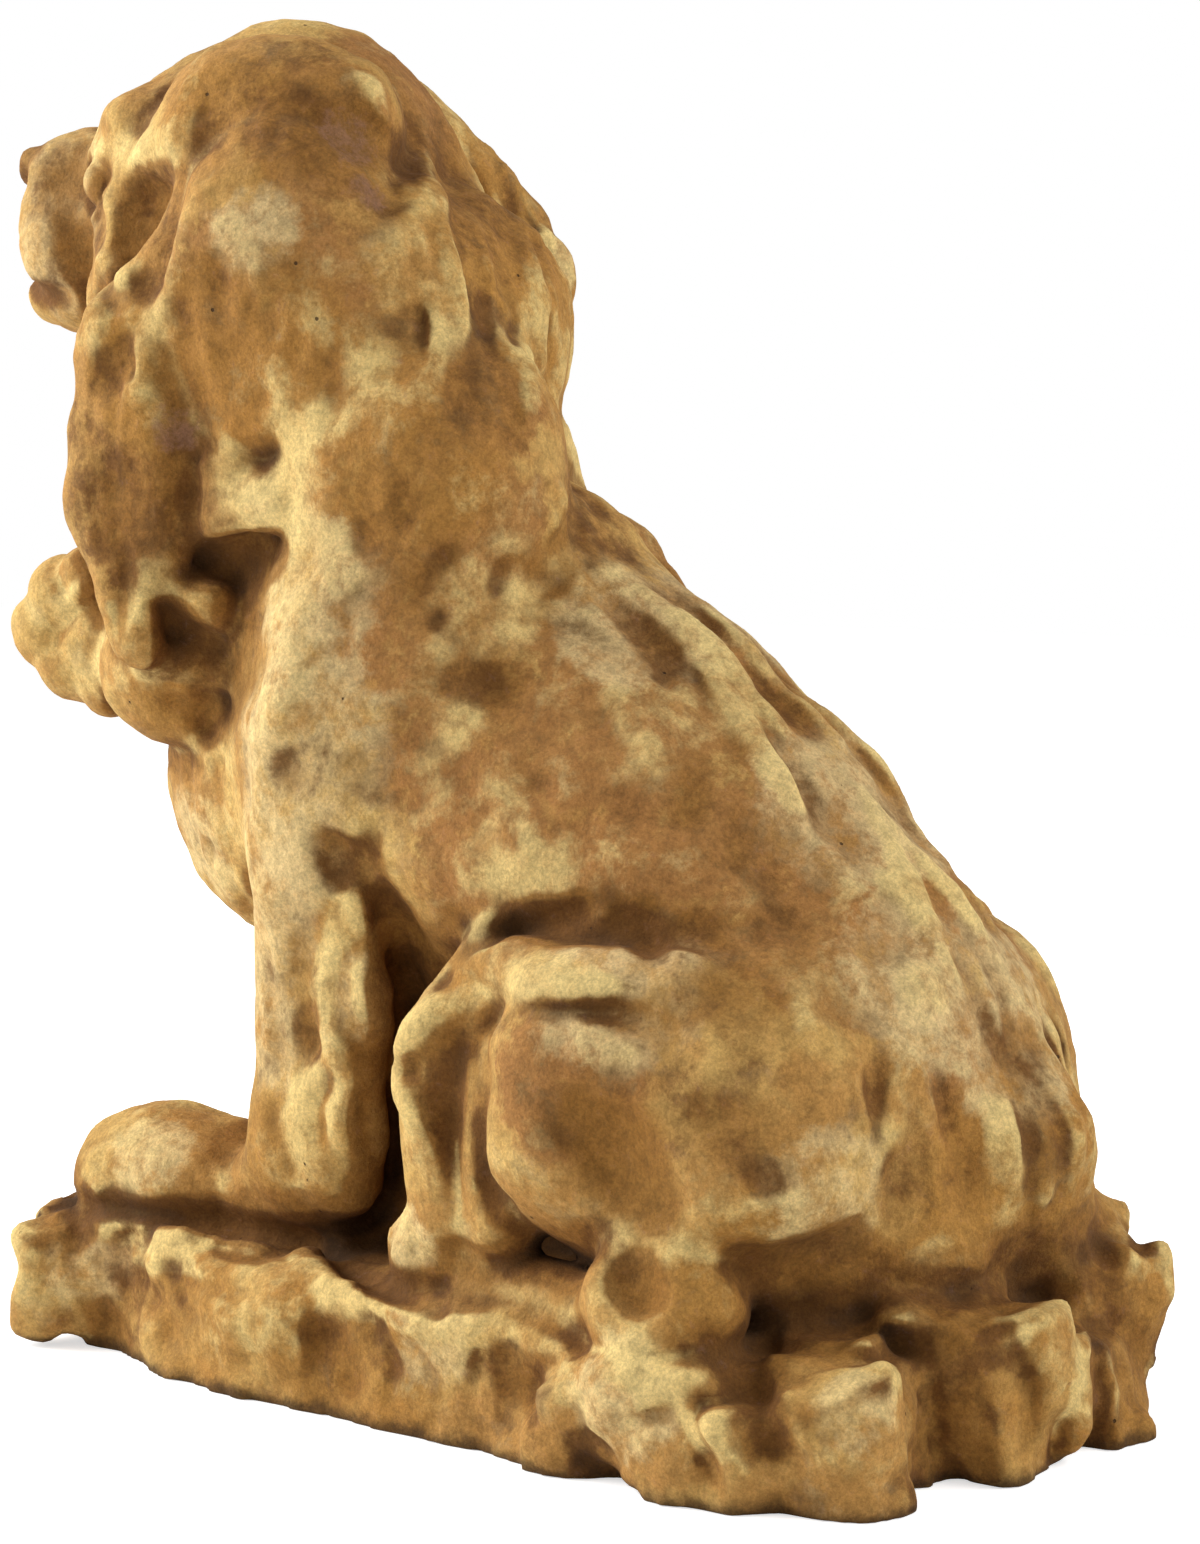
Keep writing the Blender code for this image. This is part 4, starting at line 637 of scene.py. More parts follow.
class Clay:
    """A block of space on a regular grid that holds, at each point, the distance in
    millimetres to the surface of what is modelled: negative inside, positive outside."""

    def __init__(self, bottom, top, back, pitch, reach):
        self.low = np.array((-GRID_SIDE, GRID_FRONT, bottom), float)
        self.pitch = pitch
        self.reach = reach
        high = np.array((GRID_SIDE, back, top), float)
        self.count = np.ceil((high - self.low) / pitch).astype(int) + 1
        self.value = np.full(self.count, FAR_OUT, np.float32)

    def window(self, low, high, margin):
        """The slices of the grid round a box, which may be empty, and open coordinates of
        their points."""
        first = np.floor((np.array(low, float) - margin - self.low) / self.pitch).astype(int)
        last = np.ceil((np.array(high, float) + margin - self.low) / self.pitch).astype(int) + 1
        first = np.clip(first, 0, self.count)
        last = np.clip(last, 0, self.count)
        axes = [
            (self.low[i] + self.pitch * np.arange(first[i], last[i])).astype(np.float32)
            for i in range(3)
        ]
        return tuple(slice(a, b) for a, b in zip(first, last)), np.ix_(*axes)

    def turned_window(self, centre, spin, room):
        """The slices of the grid round a form, and how far its points there lie from the
        form's centre along each of the form's own axes, the columns of its matrix."""
        slices, axes = self.window(centre - room, centre + room, self.reach)
        offsets = [axes[i] - centre[i] for i in range(3)]
        along = [sum(spin[i, axis] * offsets[i] for i in range(3)) for axis in range(3)]
        return slices, along

    def runs(self, path, axes):
        """For each straight run of a path, the square of how far each grid point is from
        it, and the path's further values, which change evenly along the run."""
        for start, end in zip(path, path[1:] if len(path) > 1 else path):
            run = end[:3] - start[:3]
            offsets = [axes[i] - start[i] for i in range(3)]
            share = sum(run[i] * offsets[i] for i in range(3)) / max(run @ run, TINY)
            share = np.clip(share, 0, 1)
            square = sum((offsets[i] - share * run[i]) ** 2 for i in range(3))
            yield square, *(a + share * (b - a) for a, b in zip(start[3:], end[3:]))

    def join(self, slices, distance, softness):
        """Union with a round fillet: the lesser of both distances, less the fillet."""
        old = self.value[slices]
        self.value[slices] = np.minimum(old, distance) - fillet(old, distance, softness)

    def mass(self, centre, radii, turn=NO_TURN, softness=SOFT_JOIN, matrix=np.eye(3)):
        """An ellipsoid. Its distance is q(q - 1)/g, where q is the length of the point
        divided by the radii and g the length of the point divided by their squares."""
        centre = np.array(centre, float)
        spin = matrix @ turn_matrix(turn)
        radii = np.array(radii, float)
        slices, along = self.turned_window(centre, spin, np.abs(spin) @ radii)
        q = np.sqrt(sum((along[axis] / radii[axis]) ** 2 for axis in range(3)))
        steep = sum((along[axis] / radii[axis] ** 2) ** 2 for axis in range(3))
        self.join(slices, q * (q - 1) / np.sqrt(np.maximum(steep, TINIEST)), softness)

    def trace(self, path, margin):
        """The window round a path of (x, y, z, radius) and, in it, the least distance to
        the path's straight runs less the radius, which changes evenly along a run."""
        path = np.array(path, float)
        fat = path[:, 3].max() + margin
        slices, axes = self.window(path[:, :3].min(0), path[:, :3].max(0), fat)
        nearest = np.float32(FAR_OUT)
        for square, radius in self.runs(path, axes):
            nearest = np.minimum(nearest, np.sqrt(square) - radius)
        return slices, nearest.astype(np.float32)

    def roll(self, path, softness):
        """Add a roll of clay along a path."""
        self.join(*self.trace(path, self.reach), softness)

    def press(self, path, depth):
        """Move the surface along a path in by a depth, or out by it if it is negative: the
        distances there rise by depth times the greatest of s exp(-(d / w)^2) over the
        path's runs, where d is how far the run is, and w and s are its width and strength,
        the fourth and fifth values of the path's points."""
        path = np.array(path, float)
        widest = path[:, 3].max()
        slices, axes = self.window(path[:, :3].min(0), path[:, :3].max(0), widest * PRESS_REACH)
        greatest = np.float32(0)
        for square, width, strength in self.runs(path, axes):
            fade = np.exp(-square / width ** 2) - math.exp(-PRESS_REACH ** 2)
            greatest = np.maximum(greatest, strength * fade)
        self.value[slices] += (depth * greatest).astype(np.float32)

    def cut(self, path, softness):
        """Take a round groove along a path out of the clay, its lips softened."""
        slices, distance = self.trace(path, softness + self.pitch)
        self.value[slices] *= -1
        self.join(slices, distance, softness)
        self.value[slices] *= -1

    def rock(self, centre, size, turn, seed):
        """A boulder: a box with rounded edges whose corners are struck off by planes at
        chance angles, each at a set share of the way from the centre to the box's corner."""
        chance = np.random.default_rng(seed)
        centre = np.array(centre, float)
        spin = turn_matrix(turn)
        half = np.array(size, float) / 2
        slices, along = self.turned_window(centre, spin, np.abs(spin) @ half)
        over = [np.abs(along[i]) - (half[i] - ROCK_ROUND) for i in range(3)]
        distance = rounded(over, ROCK_ROUND)
        for _ in range(ROCK_FACETS):
            way = chance.normal(0, 1, 3)
            way /= np.linalg.norm(way)
            corner = np.abs(way) @ half
            share = chance.uniform(*ROCK_FACET_SHARE)
            plane = sum(way[i] * along[i] for i in range(3)) - share * corner
            distance = np.maximum(plane, distance) + fillet(plane, distance, ROCK_ROUND)
        self.join(slices, distance, TIGHT_JOIN)

    def slab(self, outline, bottom, top, rounding, softness):
        """A prism on an outline, its edges rounded: the distance to the outline is that
        to its nearest side, negative where a line to the left crosses it oddly often."""
        points = np.array(outline, float)
        low = (*points.min(0), bottom)
        high = (*points.max(0), top)
        slices, (x, y, z) = self.window(low, high, self.reach)
        nearest = np.float32(FAR_OUT ** 2 * 4)
        odd = False
        for a, b in zip(points, np.roll(points, -1, axis=0)):
            run = b - a
            share = np.clip(((x - a[0]) * run[0] + (y - a[1]) * run[1]) / (run @ run), 0, 1)
            square = (x - a[0] - share * run[0]) ** 2 + (y - a[1] - share * run[1]) ** 2
            nearest = np.minimum(nearest, square)
            spans = (a[1] > y) != (b[1] > y)
            rise = run[1] or TINIEST
            odd = odd ^ (spans & (x < a[0] + (y - a[1]) / rise * run[0]))
        flat = np.where(odd, -1, 1) * np.sqrt(nearest) + rounding
        level = np.abs(z - (top + bottom) / 2) - ((top - bottom) / 2 - rounding)
        self.join(slices, rounded((flat, level), rounding), softness)

    def collar(self):
        """A flat band round an oval: a rounded rectangle carried round it."""
        spin = turn_matrix((COLLAR_TILT, 0, 0))
        room = max(COLLAR_RADII) + COLLAR_HALF_HEIGHT
        slices, along = self.turned_window(np.array(COLLAR_CENTRE, float), spin, room)
        size = np.sqrt(sum((along[i] / COLLAR_RADII[i]) ** 2 for i in range(2)))
        out = (size - 1) * min(COLLAR_RADII)
        over_out = np.abs(out) - (COLLAR_HALF_THICKNESS - COLLAR_ROUND)
        over_up = np.abs(along[2]) - (COLLAR_HALF_HEIGHT - COLLAR_ROUND)
        self.join(slices, rounded((over_out, over_up), COLLAR_ROUND), TIGHT_JOIN)

    def roughen(self, size, height, seed):
        """Wander the surface in and out by up to height: chance values on a lattice of that
        size are blended between its points by the smooth step 3t^2 - 2t^3 and added."""
        lattice = np.random.default_rng(seed).uniform(-height, height, (LATTICE,) * 3)
        where = np.nonzero(np.abs(self.value) < self.pitch * WANDER_REACH)
        total = 0
        base = []
        part = []
        for axis in range(3):
            place = (self.low[axis] + self.pitch * where[axis]) / size
            whole = np.floor(place)
            share = place - whole
            base.append(whole.astype(int))
            part.append(share * share * (3 - 2 * share))
        for step in CORNERS:
            weight = 1
            for axis in range(3):
                weight = weight * (part[axis] if step[axis] else 1 - part[axis])
            index = tuple((base[axis] + step[axis]) % LATTICE for axis in range(3))
            total = total + weight * lattice[index]
        self.value[where] += total.astype(np.float32)

    def heights(self):
        """The height of each of the grid's levels."""
        return self.low[2] + self.pitch * np.arange(self.count[2])

    def cut_below(self, level):
        """Take away everything under a level."""
        self.value = np.maximum(self.value, (level - self.heights()).astype(np.float32))

    def dive_past(self, level):
        """Draw the surface in beyond a seam, by an even share of how far it is past it, on
        the side of the seam that less of this grid lies on."""
        past = self.heights() - level
        if past.mean() > 0:
            past = -past
        self.value += (SEAM_DIVE * np.maximum(past, 0)).astype(np.float32)

    def read(self, points):
        """The distance at any points, read between the grid's own, FAR_OUT off the grid."""
        place = (points - self.low) / self.pitch
        base = np.floor(place).astype(int)
        good = np.all((base >= 0) & (base < self.count - 1), axis=-1)
        base = np.clip(base, 0, self.count - 2)
        part = np.clip(place - base, 0, 1)
        total = 0
        for step in CORNERS:
            index = base + step
            weight = np.prod(np.where(step, part, 1 - part), axis=-1)
            total = total + weight * self.value[index[..., 0], index[..., 1], index[..., 2]]
        return np.where(good, total, FAR_OUT)

    def slope(self, points):
        """The direction away from the surface at any points, of length 1."""
        step = self.pitch * np.eye(3)
        rise = np.stack([self.read(points + step[i]) - self.read(points - step[i])
                         for i in range(3)], -1)
        return rise / np.maximum(np.linalg.norm(rise, axis=-1, keepdims=True), TINY)

    def skin(self):
        """The surface as (points, quads): one point in each cell that the surface passes
        through, at the mean of where it crosses the cell's edges, and one quad across
        each grid edge that it crosses, joining the four cells round that edge. The grid's
        own outer layer is held outside the clay, so that the surface always closes."""
        value = self.value
        for axis in range(3):
            for edge in (0, -1):
                rim = [slice(None)] * 3
                rim[axis] = edge
                value[tuple(rim)] = np.maximum(value[tuple(rim)], self.pitch)
        cells = tuple(n - 1 for n in self.count)
        total = np.zeros((*cells, 3), np.float32)
        hits = np.zeros(cells, np.int8)
        crossings = []
        for axis in range(3):
            head = [slice(None)] * 3
            tail = [slice(None)] * 3
            head[axis] = slice(None, -1)
            tail[axis] = slice(1, None)
            a = value[tuple(head)]
            b = value[tuple(tail)]
            where = np.nonzero((a < 0) != (b < 0))
            first = a[where]
            part = first / (first - b[where])
            spot = np.stack(where, 1).astype(np.float32)
            spot[:, axis] += part
            crossings.append((where, first < 0))
            others = [k for k in range(3) if k != axis]
            for i in (0, 1):
                for j in (0, 1):
                    cell = [w.copy() for w in where]
                    cell[others[0]] -= i
                    cell[others[1]] -= j
                    ok = True
                    for k in others:
                        ok = ok & (cell[k] >= 0) & (cell[k] < cells[k])
                    index = tuple(c[ok] for c in cell)
                    total[index] += spot[ok]
                    hits[index] += 1
        used = np.nonzero(hits)
        number = np.full(cells, -1, np.int32)
        number[used] = np.arange(len(used[0]), dtype=np.int32)
        points = total[used] / hits[used][:, None] * self.pitch + self.low
        quads = []
        for axis, (where, starts_inside) in enumerate(crossings):
            u, v = (axis + 1) % 3, (axis + 2) % 3
            corners = []
            for i, j in ((0, 0), (1, 0), (1, 1), (0, 1)):
                cell = [w.copy() for w in where]
                cell[u] -= i
                cell[v] -= j
                corners.append(number[tuple(cell)])
            quad = np.stack(corners, 1)
            quad[~starts_inside] = quad[~starts_inside][:, ::-1]
            quads.append(quad)
        return points, np.concatenate(quads)


def camera_axes():
    """The camera's right, up and forward directions."""
    heading = math.radians(CAMERA_HEADING)
    tilt = math.radians(CAMERA_TILT)
    flat = np.array((-math.sin(heading), math.cos(heading), 0))
    right = np.array((flat[1], -flat[0], 0))
    forward = math.cos(tilt) * flat + math.sin(tilt) * np.array((0, 0, 1))
    return right, np.cross(right, forward), forward


def seen_points(pixels, rough):
    """Where the rays through some pixels meet the rough statue, and the way out of its
    surface there. A ray that misses gives the point of the statue nearest to it."""
    right, up, forward = camera_axes()
    scale = LENS / SENSOR * FRAME_HEIGHT
    pixels = np.array(pixels, float)
    across = (pixels[:, :1] - FRAME_WIDTH / 2) / scale
    rise = (FRAME_HEIGHT / 2 - pixels[:, 1:]) / scale
    rays = forward + across * right + rise * up
    reach = np.linspace(NEAREST_RAY, FARTHEST_RAY, RAY_STEPS)
    points = (np.array(CAMERA_PLACE) + reach[None, :, None] * rays[:, None, :]) / MM
    value = rough.read(points)
    inside = value < 0
    hit = inside.any(1)
    rows = np.arange(len(pixels))
    after = np.maximum(np.where(hit, inside.argmax(1), value.argmin(1)), 1)
    first = value[rows, after - 1]
    second = value[rows, after]
    share = np.where(hit, first / np.maximum(first - second, TINY), 1)[:, None]
    spots = points[rows, after - 1] * (1 - share) + points[rows, after] * share
    away = rough.slope(spots)
    spots = spots - np.where(hit, 0, np.maximum(second, 0))[:, None] * away
    return spots, away


def subdivided(pixels):
    """A pixel path with points no farther apart than a stroke's step, and how far along
    the whole path each one is, from 0 to 1."""
    pixels = np.array(pixels, float)
    lengths = np.linalg.norm(np.diff(pixels, axis=0), axis=1)
    marks = np.concatenate(([0], np.cumsum(lengths)))
    count = max(2, int(marks[-1] / STROKE_STEP) + 1)
    along = np.linspace(0, marks[-1], count)
    spots = np.stack([np.interp(along, marks, pixels[:, i]) for i in range(2)], 1)
    return spots, along / max(marks[-1], TINY)


def combed_strokes():
    """The hair's strokes: each lies between its two guides at an even share with some
    chance in it, and covers a chance stretch of their length."""
    chance = np.random.default_rng(HAIR_SEED)
    strokes = []
    for side, radius, depth, count, first, last in HAIR:
        first = np.array(first, float)
        last = np.array(last, float)
        for number in range(count):
            share = (number + chance.uniform(*HAIR_PLACE)) / count
            guide = first + share * (last - first)
            length = chance.uniform(*HAIR_LENGTH)
            start = chance.uniform(0, 1 - length)
            place = np.linspace(0, 1, len(guide))
            along = np.linspace(start, start + length, HAIR_POINTS)
            path = np.stack([np.interp(along, place, guide[:, i]) for i in range(2)], 1)
            path += chance.normal(0, HAIR_STRAY, path.shape)
            way = 1 if chance.random() < HAIR_CUTS else -1
            strokes.append((side, radius, way * depth * chance.uniform(*HAIR_DEPTH), path))
    return strokes


def draw_strokes(clays, rough):
    """Find where every pixel stroke lies and work it into the clays, on both sides."""
    drawn = {"head": HEAD_STROKES, "body": BODY_STROKES, "rock": ROCK_STROKES}
    strokes = [(side, *stroke) for side, table in drawn.items() for stroke in table]
    strokes += combed_strokes()
    paths = [subdivided(stroke[-1]) for stroke in strokes]
    spots, away = seen_points(np.concatenate([path[0] for path in paths]), rough)
    start = 0
    for (side, radius, depth, _), (pixels, along) in zip(strokes, paths):
        end = start + len(pixels)
        # The tool is pressed less near both ends of the stroke.
        taper = np.sqrt(np.sin(np.pi * np.clip(along, END_SHARE, 1 - END_SHARE)))
        if len(pixels) < LEAST_FADING:
            taper = np.ones(len(pixels))
        depth = max(-STEEPEST_RIDGE * radius, min(depth, STEEPEST_CUT * radius))
        centres = spots[start:end] - away[start:end] * (taper * depth * STROKE_SINK)[:, None]
        width = radius * (END_WIDTH + ADDED_WIDTH * taper) * STROKE_WIDTH
        path = np.hstack([centres, width[:, None], taper[:, None]])
        start = end
        draw_path(clays, path, depth)
        if side == "rock":
            continue
        # The other side isn't quite the same, so the stroke is moved onto its surface, and
        # left out where there is none near it.
        other = mirrored_points(centres, side)
        off = rough.read(other) - rough.read(centres)
        if np.abs(off).max() > FARTHEST_MOVE:
            continue
        other = other - off[:, None] * rough.slope(other)
        draw_path(clays, np.hstack([other, path[:, 3:]]), depth)


def draw_path(clays, path, depth):
    """Work one stroke into the clays, in pieces where it jumps from one form to another
    that is farther from the camera."""
    gaps = np.linalg.norm(np.diff(path[:, :3], axis=0), axis=1) > WIDEST_STEP
    for run in np.split(path, np.nonzero(gaps)[0] + 1):
        for clay in clays:
            clay.press(run, depth)


def sculpt_head(clay):
    """Skull, muzzle, brows, cheeks, ears and the long locks in front of them."""
    for centre, *form in HEAD_MASSES:
        clay.mass(from_head(centre), *form, matrix=HEAD_MATRIX)
    for mass in PAIRED_HEAD_MASSES:
        for centre, *form in (mass, mirrored_mass(*mass)):
            clay.mass(from_head(centre), *form, matrix=HEAD_MATRIX)
    for left in (EAR_ROOT, EAR_REAR, EAR_LOCK):
        for path in (left, mirrored(left)):
            clay.roll([(*from_head(point[:3]), point[3]) for point in path], FIRM_JOIN)


def settled(path, rough):
    """The points of a path in the head's frame, moved onto the rough statue's surface."""
    spots = np.array([from_head(point) for point in path])
    for _ in range(SETTLING_STEPS):
        spots = spots - rough.read(spots)[:, None] * rough.slope(spots)
    return spots


def finish_face(clay, rough):
    """The eyes, nostrils and mouth, which the photograph doesn't show."""
    for side, (centre, *form) in ((1, EYE), (-1, mirrored_mass(*EYE))):
        for width, depth, path in FACE:
            spots = settled([(side * x, y, z) for x, y, z in path], rough)
            clay.press([(*spot, width, 1) for spot in spots], depth)
        clay.mass(from_head(centre), *form, matrix=HEAD_MATRIX)


def sculpt_body(clay):
    """Neck, trunk, legs, feet, tail, collar and bow."""
    def both_masses(mass):
        clay.mass(*mass)
        clay.mass(*mirrored_mass(*mass))

    def both_rolls(path, softness):
        clay.roll(path, softness)
        clay.roll(mirrored(path), softness)

    for mass in BODY_MASSES:
        clay.mass(*mass)
    for mass in PAIRED_BODY_MASSES:
        both_masses(mass)
    for path in (BACK, TAIL):
        clay.roll(path, SOFT_JOIN)
    for path in (FORELEG, FORELEG_FEATHER, BELLY_CURL, BELLY_LOBE, FLANK_FOLD, HIND_FOOT):
        both_rolls(path, FIRM_JOIN)
    clay.collar()
    clay.mass(*BOW_KNOT)
    for mass in (BOW_FOOT, BOW_FAN):
        both_masses(mass)
    for end in BOW_PLEATS:
        both_rolls((BOW_GATHER, end), TIGHT_JOIN)
    both_rolls(BOW_RIBBON, TIGHT_JOIN)


def part_toes(clay):
    """Grooves between the toes of the forepaws."""
    for groove in TOE_GROOVES:
        path = [(*point, TOE_RADIUS) for point in groove]
        clay.cut(path, TOE_SOFTNESS)
        clay.cut(mirrored(path), TOE_SOFTNESS)


def wander_dog(clay):
    """The unevenness of the dog's own surface."""
    for number, (size, height) in enumerate(DOG_WANDER):
        clay.roughen(size, height, DOG_SEED + number)


def sculpt_rocks(clay):
    """The slab and the rocks round it, running on below the floor."""
    clay.slab(SLAB_OUTLINE, -SLAB_ROUND, SLAB_TOP, SLAB_ROUND, FIRM_JOIN)
    for number, (centre, size, turn) in enumerate(ROCKS):
        clay.rock(centre, size, turn, number)
    for number, (size, height) in enumerate(ROCK_WANDER):
        clay.roughen(size, height, number)


def felt_hollows(points, away, clays):
    """How hollow the surface is at each distance felt, and how proud it stands. A hollow is
    1 less the distance to the clay, taken a way out from the surface, over that way. A
    crest is the same the other way round, taken into the clay."""
    def distance(spots):
        return np.minimum.reduce([clay.read(spots) for clay in clays])

    marks = {}
    for number, way in enumerate(FELT):
        marks[f"hollow_{number}"] = np.clip(1 - distance(points + way * away) / way, 0, 1)
    crest = np.clip(1 + distance(points - CREST_DEPTH * away) / CREST_DEPTH, 0, 1)
    marks["crest"] = crest * np.clip((points[:, 2] - CREST_DEPTH) / CREST_DEPTH, 0, 1)
    return marks


def place_stains(rough):
    """The stains' centres: where the pixels lie on the statue, and mirrored."""
    placed = []
    for tint, stains in STAINS.items():
        spots, _ = seen_points([stain[:2] for stain in stains], rough)
        for spot, (_, _, radius) in zip(spots, stains):
            placed += [(tint, spot, radius), (tint, spot * (-1, 1, 1), radius)]
    return placed


def stain_marks(points, stains):
    """How strong each tint is: the greatest of 1 - (distance / radius)^2 over its stains."""
    marks = {tint: np.zeros(len(points)) for tint in STAINS}
    for tint, centre, radius in stains:
        share = np.linalg.norm(points - centre, axis=1) / radius
        marks[tint] = np.maximum(marks[tint], np.clip(1 - share * share, 0, 1))
    return marks


def add_object(name, data, place=(0, 0, 0), way=None):
    """Put an object into the scene, aimed along a direction if there is one."""
    thing = bpy.data.objects.new(name, data)
    bpy.context.scene.collection.objects.link(thing)
    thing.location = place
    if way is not None:
        thing.rotation_euler = Vector(way).to_track_quat("-Z", "Y").to_euler()
    return thing


def make_piece(name, clay, clays, stains, material, body="root"):
    """Turn clay into a named mesh piece in metres, standing for the casting."""
    points, quads = clay.skin()
    mesh = bpy.data.meshes.new(name)
    mesh.vertices.add(len(points))
    mesh.vertices.foreach_set("co", (points * MM).astype(np.float32).ravel())
    mesh.loops.add(quads.size)
    mesh.loops.foreach_set("vertex_index", quads.astype(np.int32).ravel())
    mesh.polygons.add(len(quads))
    mesh.polygons.foreach_set("loop_start", np.arange(0, quads.size, 4, dtype=np.int32))
    mesh.update(calc_edges=True)
    marks = felt_hollows(points, clay.slope(points), clays) | stain_marks(points, stains)
    for mark, values in marks.items():
        layer = mesh.attributes.new(mark, "FLOAT", "POINT")
        layer.data.foreach_set("value", values.astype(np.float32))
    mesh.shade_smooth()
    mesh.materials.append(material)
    piece = add_object(name, mesh)
    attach(piece, body)
    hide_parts("statue_casting")


class Finish:
    """Short ways to add shader nodes to one material."""

    def __init__(self, name):
        self.material = bpy.data.materials.new(name)
        self.material.use_nodes = True
        self.tree = self.material.node_tree
        self.shader = self.tree.nodes["Principled BSDF"]
        self.place = self.tree.nodes.new("ShaderNodeTexCoord").outputs["Object"]

    def fill(self, node, inputs):
        """Link an output to each named or numbered input of a node, or set a constant."""
        for name, value in inputs.items():
            if isinstance(value, bpy.types.NodeSocket):
                self.tree.links.new(value, node.inputs[name])
            elif isinstance(value, tuple):
                node.inputs[name].default_value = (*value, 1)
            else:
                node.inputs[name].default_value = value

    def add(self, kind, inputs):
        """A new node with its inputs filled."""
        node = self.tree.nodes.new(kind)
        self.fill(node, inputs)
        return node

    def noise(self, scale, detail, roughness, distortion=0):
        """Smooth noise by the place on the statue, from 0 to 1, mostly near 0.5."""
        return self.add("ShaderNodeTexNoise", {
            "Vector": self.place, "Scale": scale, "Detail": detail, "Roughness": roughness,
            "Distortion": distortion}).outputs["Fac"]

    def cells(self, scale):
        """How far each place is from the nearest of many scattered points, in cells, and a
        chance value for each cell."""
        node = self.add("ShaderNodeTexVoronoi", {"Vector": self.place, "Scale": scale})
        return node.outputs["Distance"], node.outputs["Color"]

    def mark(self, name):
        """One of the mesh's own values, or the height above the floor in metres."""
        if name == "height":
            return self.add("ShaderNodeSeparateXYZ", {0: self.place}).outputs["Z"]
        node = self.tree.nodes.new("ShaderNodeAttribute")
        node.attribute_name = name
        return node.outputs["Fac"]

    def span(self, value, low, high, first=0.0, last=1.0):
        """A value brought smoothly from low..high to first..last, and held there."""
        node = self.tree.nodes.new("ShaderNodeMapRange")
        node.interpolation_type = "SMOOTHSTEP"
        self.fill(node, {
            "Value": value, "From Min": low, "From Max": high, "To Min": first,
            "To Max": last})
        return node.outputs[0]

    def sum(self, operation, first, second):
        """A sum, product or the like of two values."""
        node = self.tree.nodes.new("ShaderNodeMath")
        node.operation = operation
        self.fill(node, {0: first, 1: second})
        return node.outputs[0]

    def blend(self, share, first, second, kind="MIX"):
        """The first colour with a share of the second laid over it."""
        node = self.tree.nodes.new("ShaderNodeMix")
        node.data_type = "RGBA"
        node.blend_type = kind
        # Inputs 6 and 7 and output 2 are the node's colours.
        self.fill(node, {"Factor": share, 6: first, 7: second})
        return node.outputs[2]

    def bump(self, height, strength, distance, under=None):
        """A normal tilted by a height, whose 1 stands for a distance in metres, over
        another normal."""
        inputs = {"Strength": strength, "Distance": distance, "Height": height}
        if under:
            inputs["Normal"] = under
        return self.add("ShaderNodeBump", inputs).outputs["Normal"]


def weathered_concrete_and_painted_light():
    """Ochre wash over pale concrete, mottled with rust, with fine grain and air holes. Cream on
    its crests is partly wear and partly painted highlight; the brown round and inside its hollows
    is partly wash and partly painted shade, near black in the tightest; the air holes and the
    foot above the floor are darkened as painted shade."""
    finish = Finish("weathered_concrete_and_painted_light")
    span, blend, times = finish.span, finish.blend, "MULTIPLY"
    noises = {name: finish.noise(*values) for name, values in NOISES.items()}

    colour = blend(span(noises["patches"], *GROUND), TAN, SAND)
    for mark, mark_span, noise, noise_span, share, tint in LAYERS:
        first = finish.mark(mark)
        if mark_span:
            first = span(first, *mark_span)
        second = noises[noise]
        if noise_span:
            second = span(second, *noise_span)
        total = finish.sum("ADD", first, second)
        colour = blend(span(total, *share), colour, tint)
    for noise, factors in SPECKLE.items():
        colour = blend(1.0, colour, span(noises[noise], *factors), times)

    spots, chance = finish.cells(HOLE_CELLS)
    hole = finish.sum(times, span(spots, *HOLE_EDGE), span(chance, *HOLE_CHANCE))
    # The air holes are darkened towards the near black, as painted shade inside them.
    colour = blend(finish.sum(times, hole, HOLE_DARKNESS), colour, SHADE_BLACK)
    normal = finish.bump(noises["flecks"], *FLECK_BUMP)
    normal = finish.bump(noises["grain"], *GRAIN_BUMP, normal)
    normal = finish.bump(finish.sum(times, hole, -1.0), *HOLE_BUMP, normal)
    finish.fill(finish.shader, {
        "Base Color": colour, "Roughness": ROUGHNESS, "Specular IOR Level": SPECULAR,
        "Normal": normal})
    return finish.material


def make_camera():
    """The photograph's camera."""
    bpy.context.scene.view_settings.view_transform = "Standard"
    data = bpy.data.cameras.new("camera")
    data.lens = LENS
    data.sensor_width = SENSOR
    _, _, forward = camera_axes()
    bpy.context.scene.camera = add_object("camera", data, CAMERA_PLACE, forward)


def studio_light(name, place, target, size, watts):
    """A soft square lamp aimed at a target."""
    data = bpy.data.lights.new(name, "AREA")
    data.size = size
    data.energy = watts
    add_object(name, data, place, Vector(target) - Vector(place))


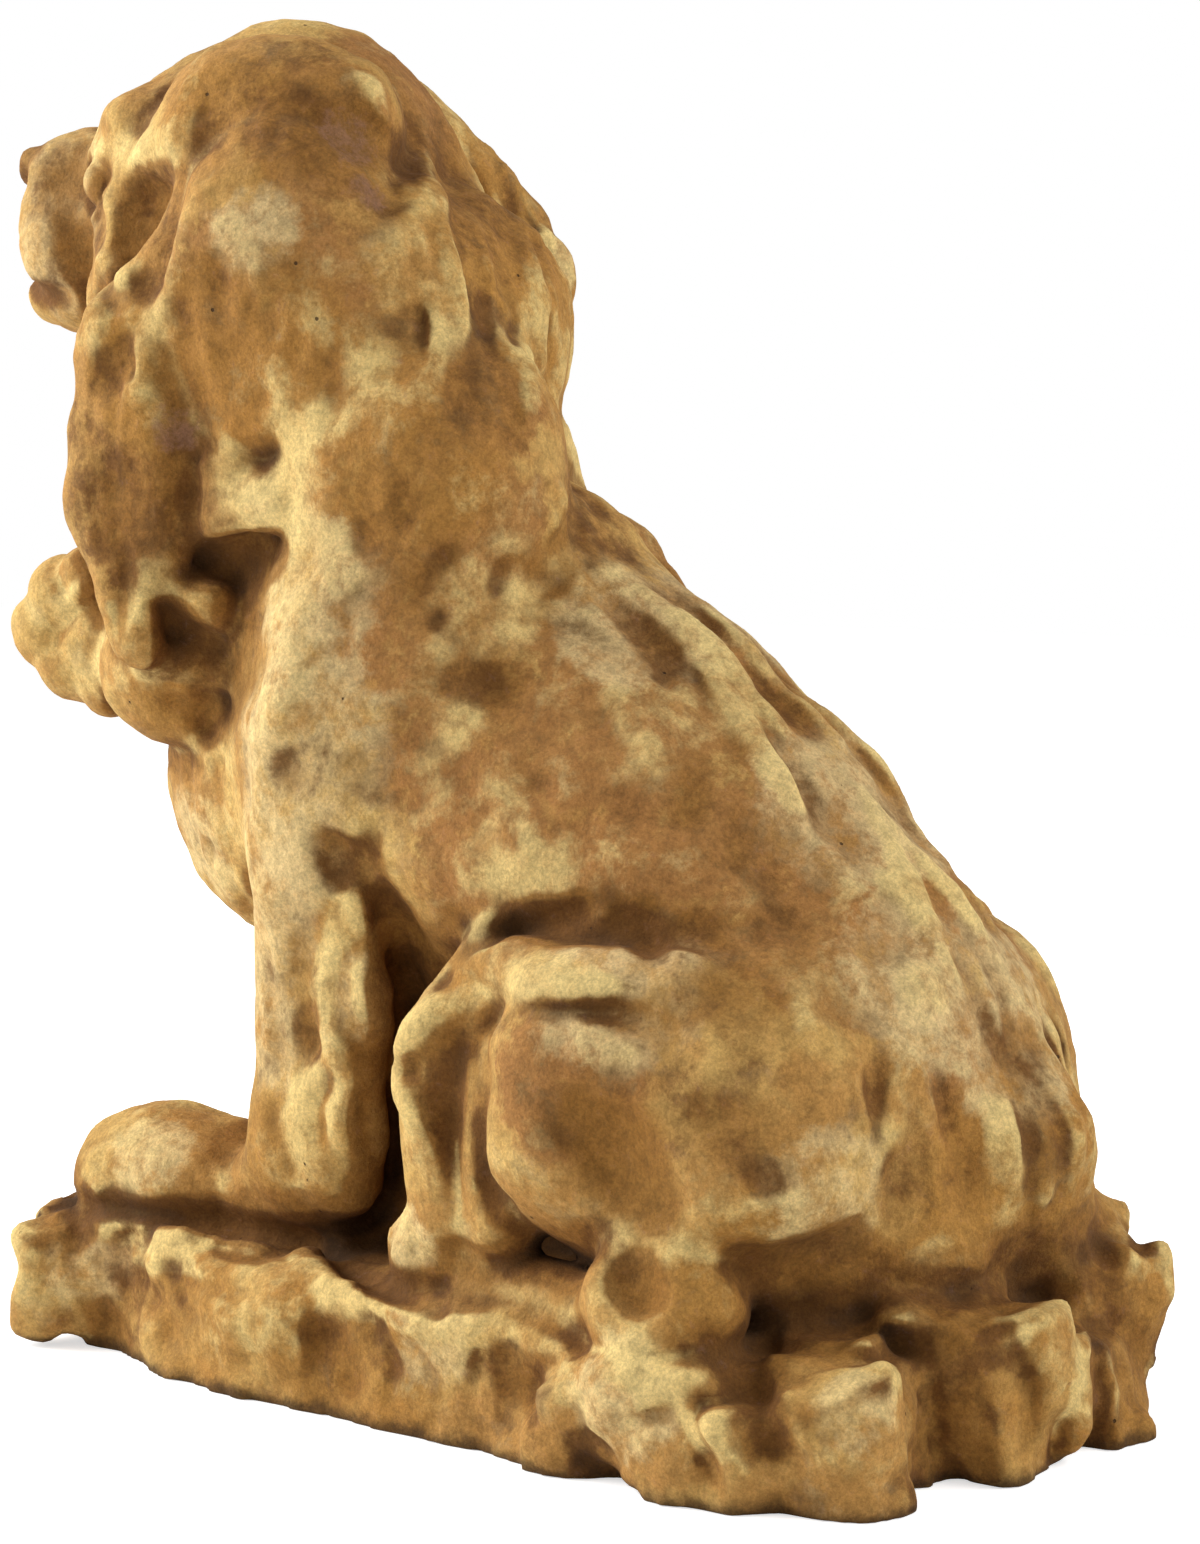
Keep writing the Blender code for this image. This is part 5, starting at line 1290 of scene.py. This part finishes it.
def make_stage():
    """A pale floor and surroundings that show white to the camera, and keep the shadow."""
    mesh = bpy.data.meshes.new("floor")
    signs = ((-1, -1), (1, -1), (1, 1), (-1, 1))
    corners = [(FLOOR_HALF * x, FLOOR_HALF * y, 0) for x, y in signs]
    mesh.from_pydata(corners, [], [(0, 1, 2, 3)])
    floor = add_object("floor", mesh, (0, 0, FLOOR_LEVEL))
    material = bpy.data.materials.new("floor")
    material.use_nodes = True
    nodes = material.node_tree.nodes
    shader = nodes["Principled BSDF"]
    shader.inputs["Base Color"].default_value = FLOOR_PALE
    shader.inputs["Roughness"].default_value = FLOOR_ROUGHNESS
    shader.inputs["Emission Color"].default_value = WHITE
    path = nodes.new("ShaderNodeLightPath")
    glow = nodes.new("ShaderNodeMath")
    glow.operation = "MULTIPLY"
    glow.inputs[1].default_value = FLOOR_GLOW
    material.node_tree.links.new(path.outputs["Is Camera Ray"], glow.inputs[0])
    material.node_tree.links.new(glow.outputs[0], shader.inputs["Emission Strength"])
    mesh.materials.append(material)
    world = bpy.data.worlds.new("studio")
    world.use_nodes = True
    bpy.context.scene.world = world
    nodes = world.node_tree.nodes
    nodes["Background"].inputs["Color"].default_value = WHITE
    path = nodes.new("ShaderNodeLightPath")
    strength = nodes.new("ShaderNodeMapRange")
    strength.inputs["To Min"].default_value = AMBIENT
    strength.inputs["To Max"].default_value = 1.0
    world.node_tree.links.new(path.outputs["Is Camera Ray"], strength.inputs["Value"])
    world.node_tree.links.new(strength.outputs[0], nodes["Background"].inputs["Strength"])


def main():
    """Sculpt and finish the statue, and set up the photograph's view of it."""
    concrete = weathered_concrete_and_painted_light()
    clays = [Clay(*grid, REACH) for grid in GRIDS.values()]
    rough = Clay(*ROUGH_GRID, ROUGH_REACH)
    for clay in (*clays, rough):
        sculpt_rocks(clay)
        sculpt_head(clay)
        sculpt_body(clay)
    for clay in clays:
        wander_dog(clay)
    draw_strokes(clays, rough)
    for clay in clays:
        finish_face(clay, rough)
        part_toes(clay)
        clay.cut_below(0)
        for level in SEAMS:
            clay.dive_past(level)
    stains = place_stains(rough)
    for name, clay in zip(GRIDS, clays):
        make_piece(name, clay, clays, stains, concrete)
    make_camera()
    make_stage()
    for name, lamp in LAMPS.items():
        studio_light(name, *lamp)


main()
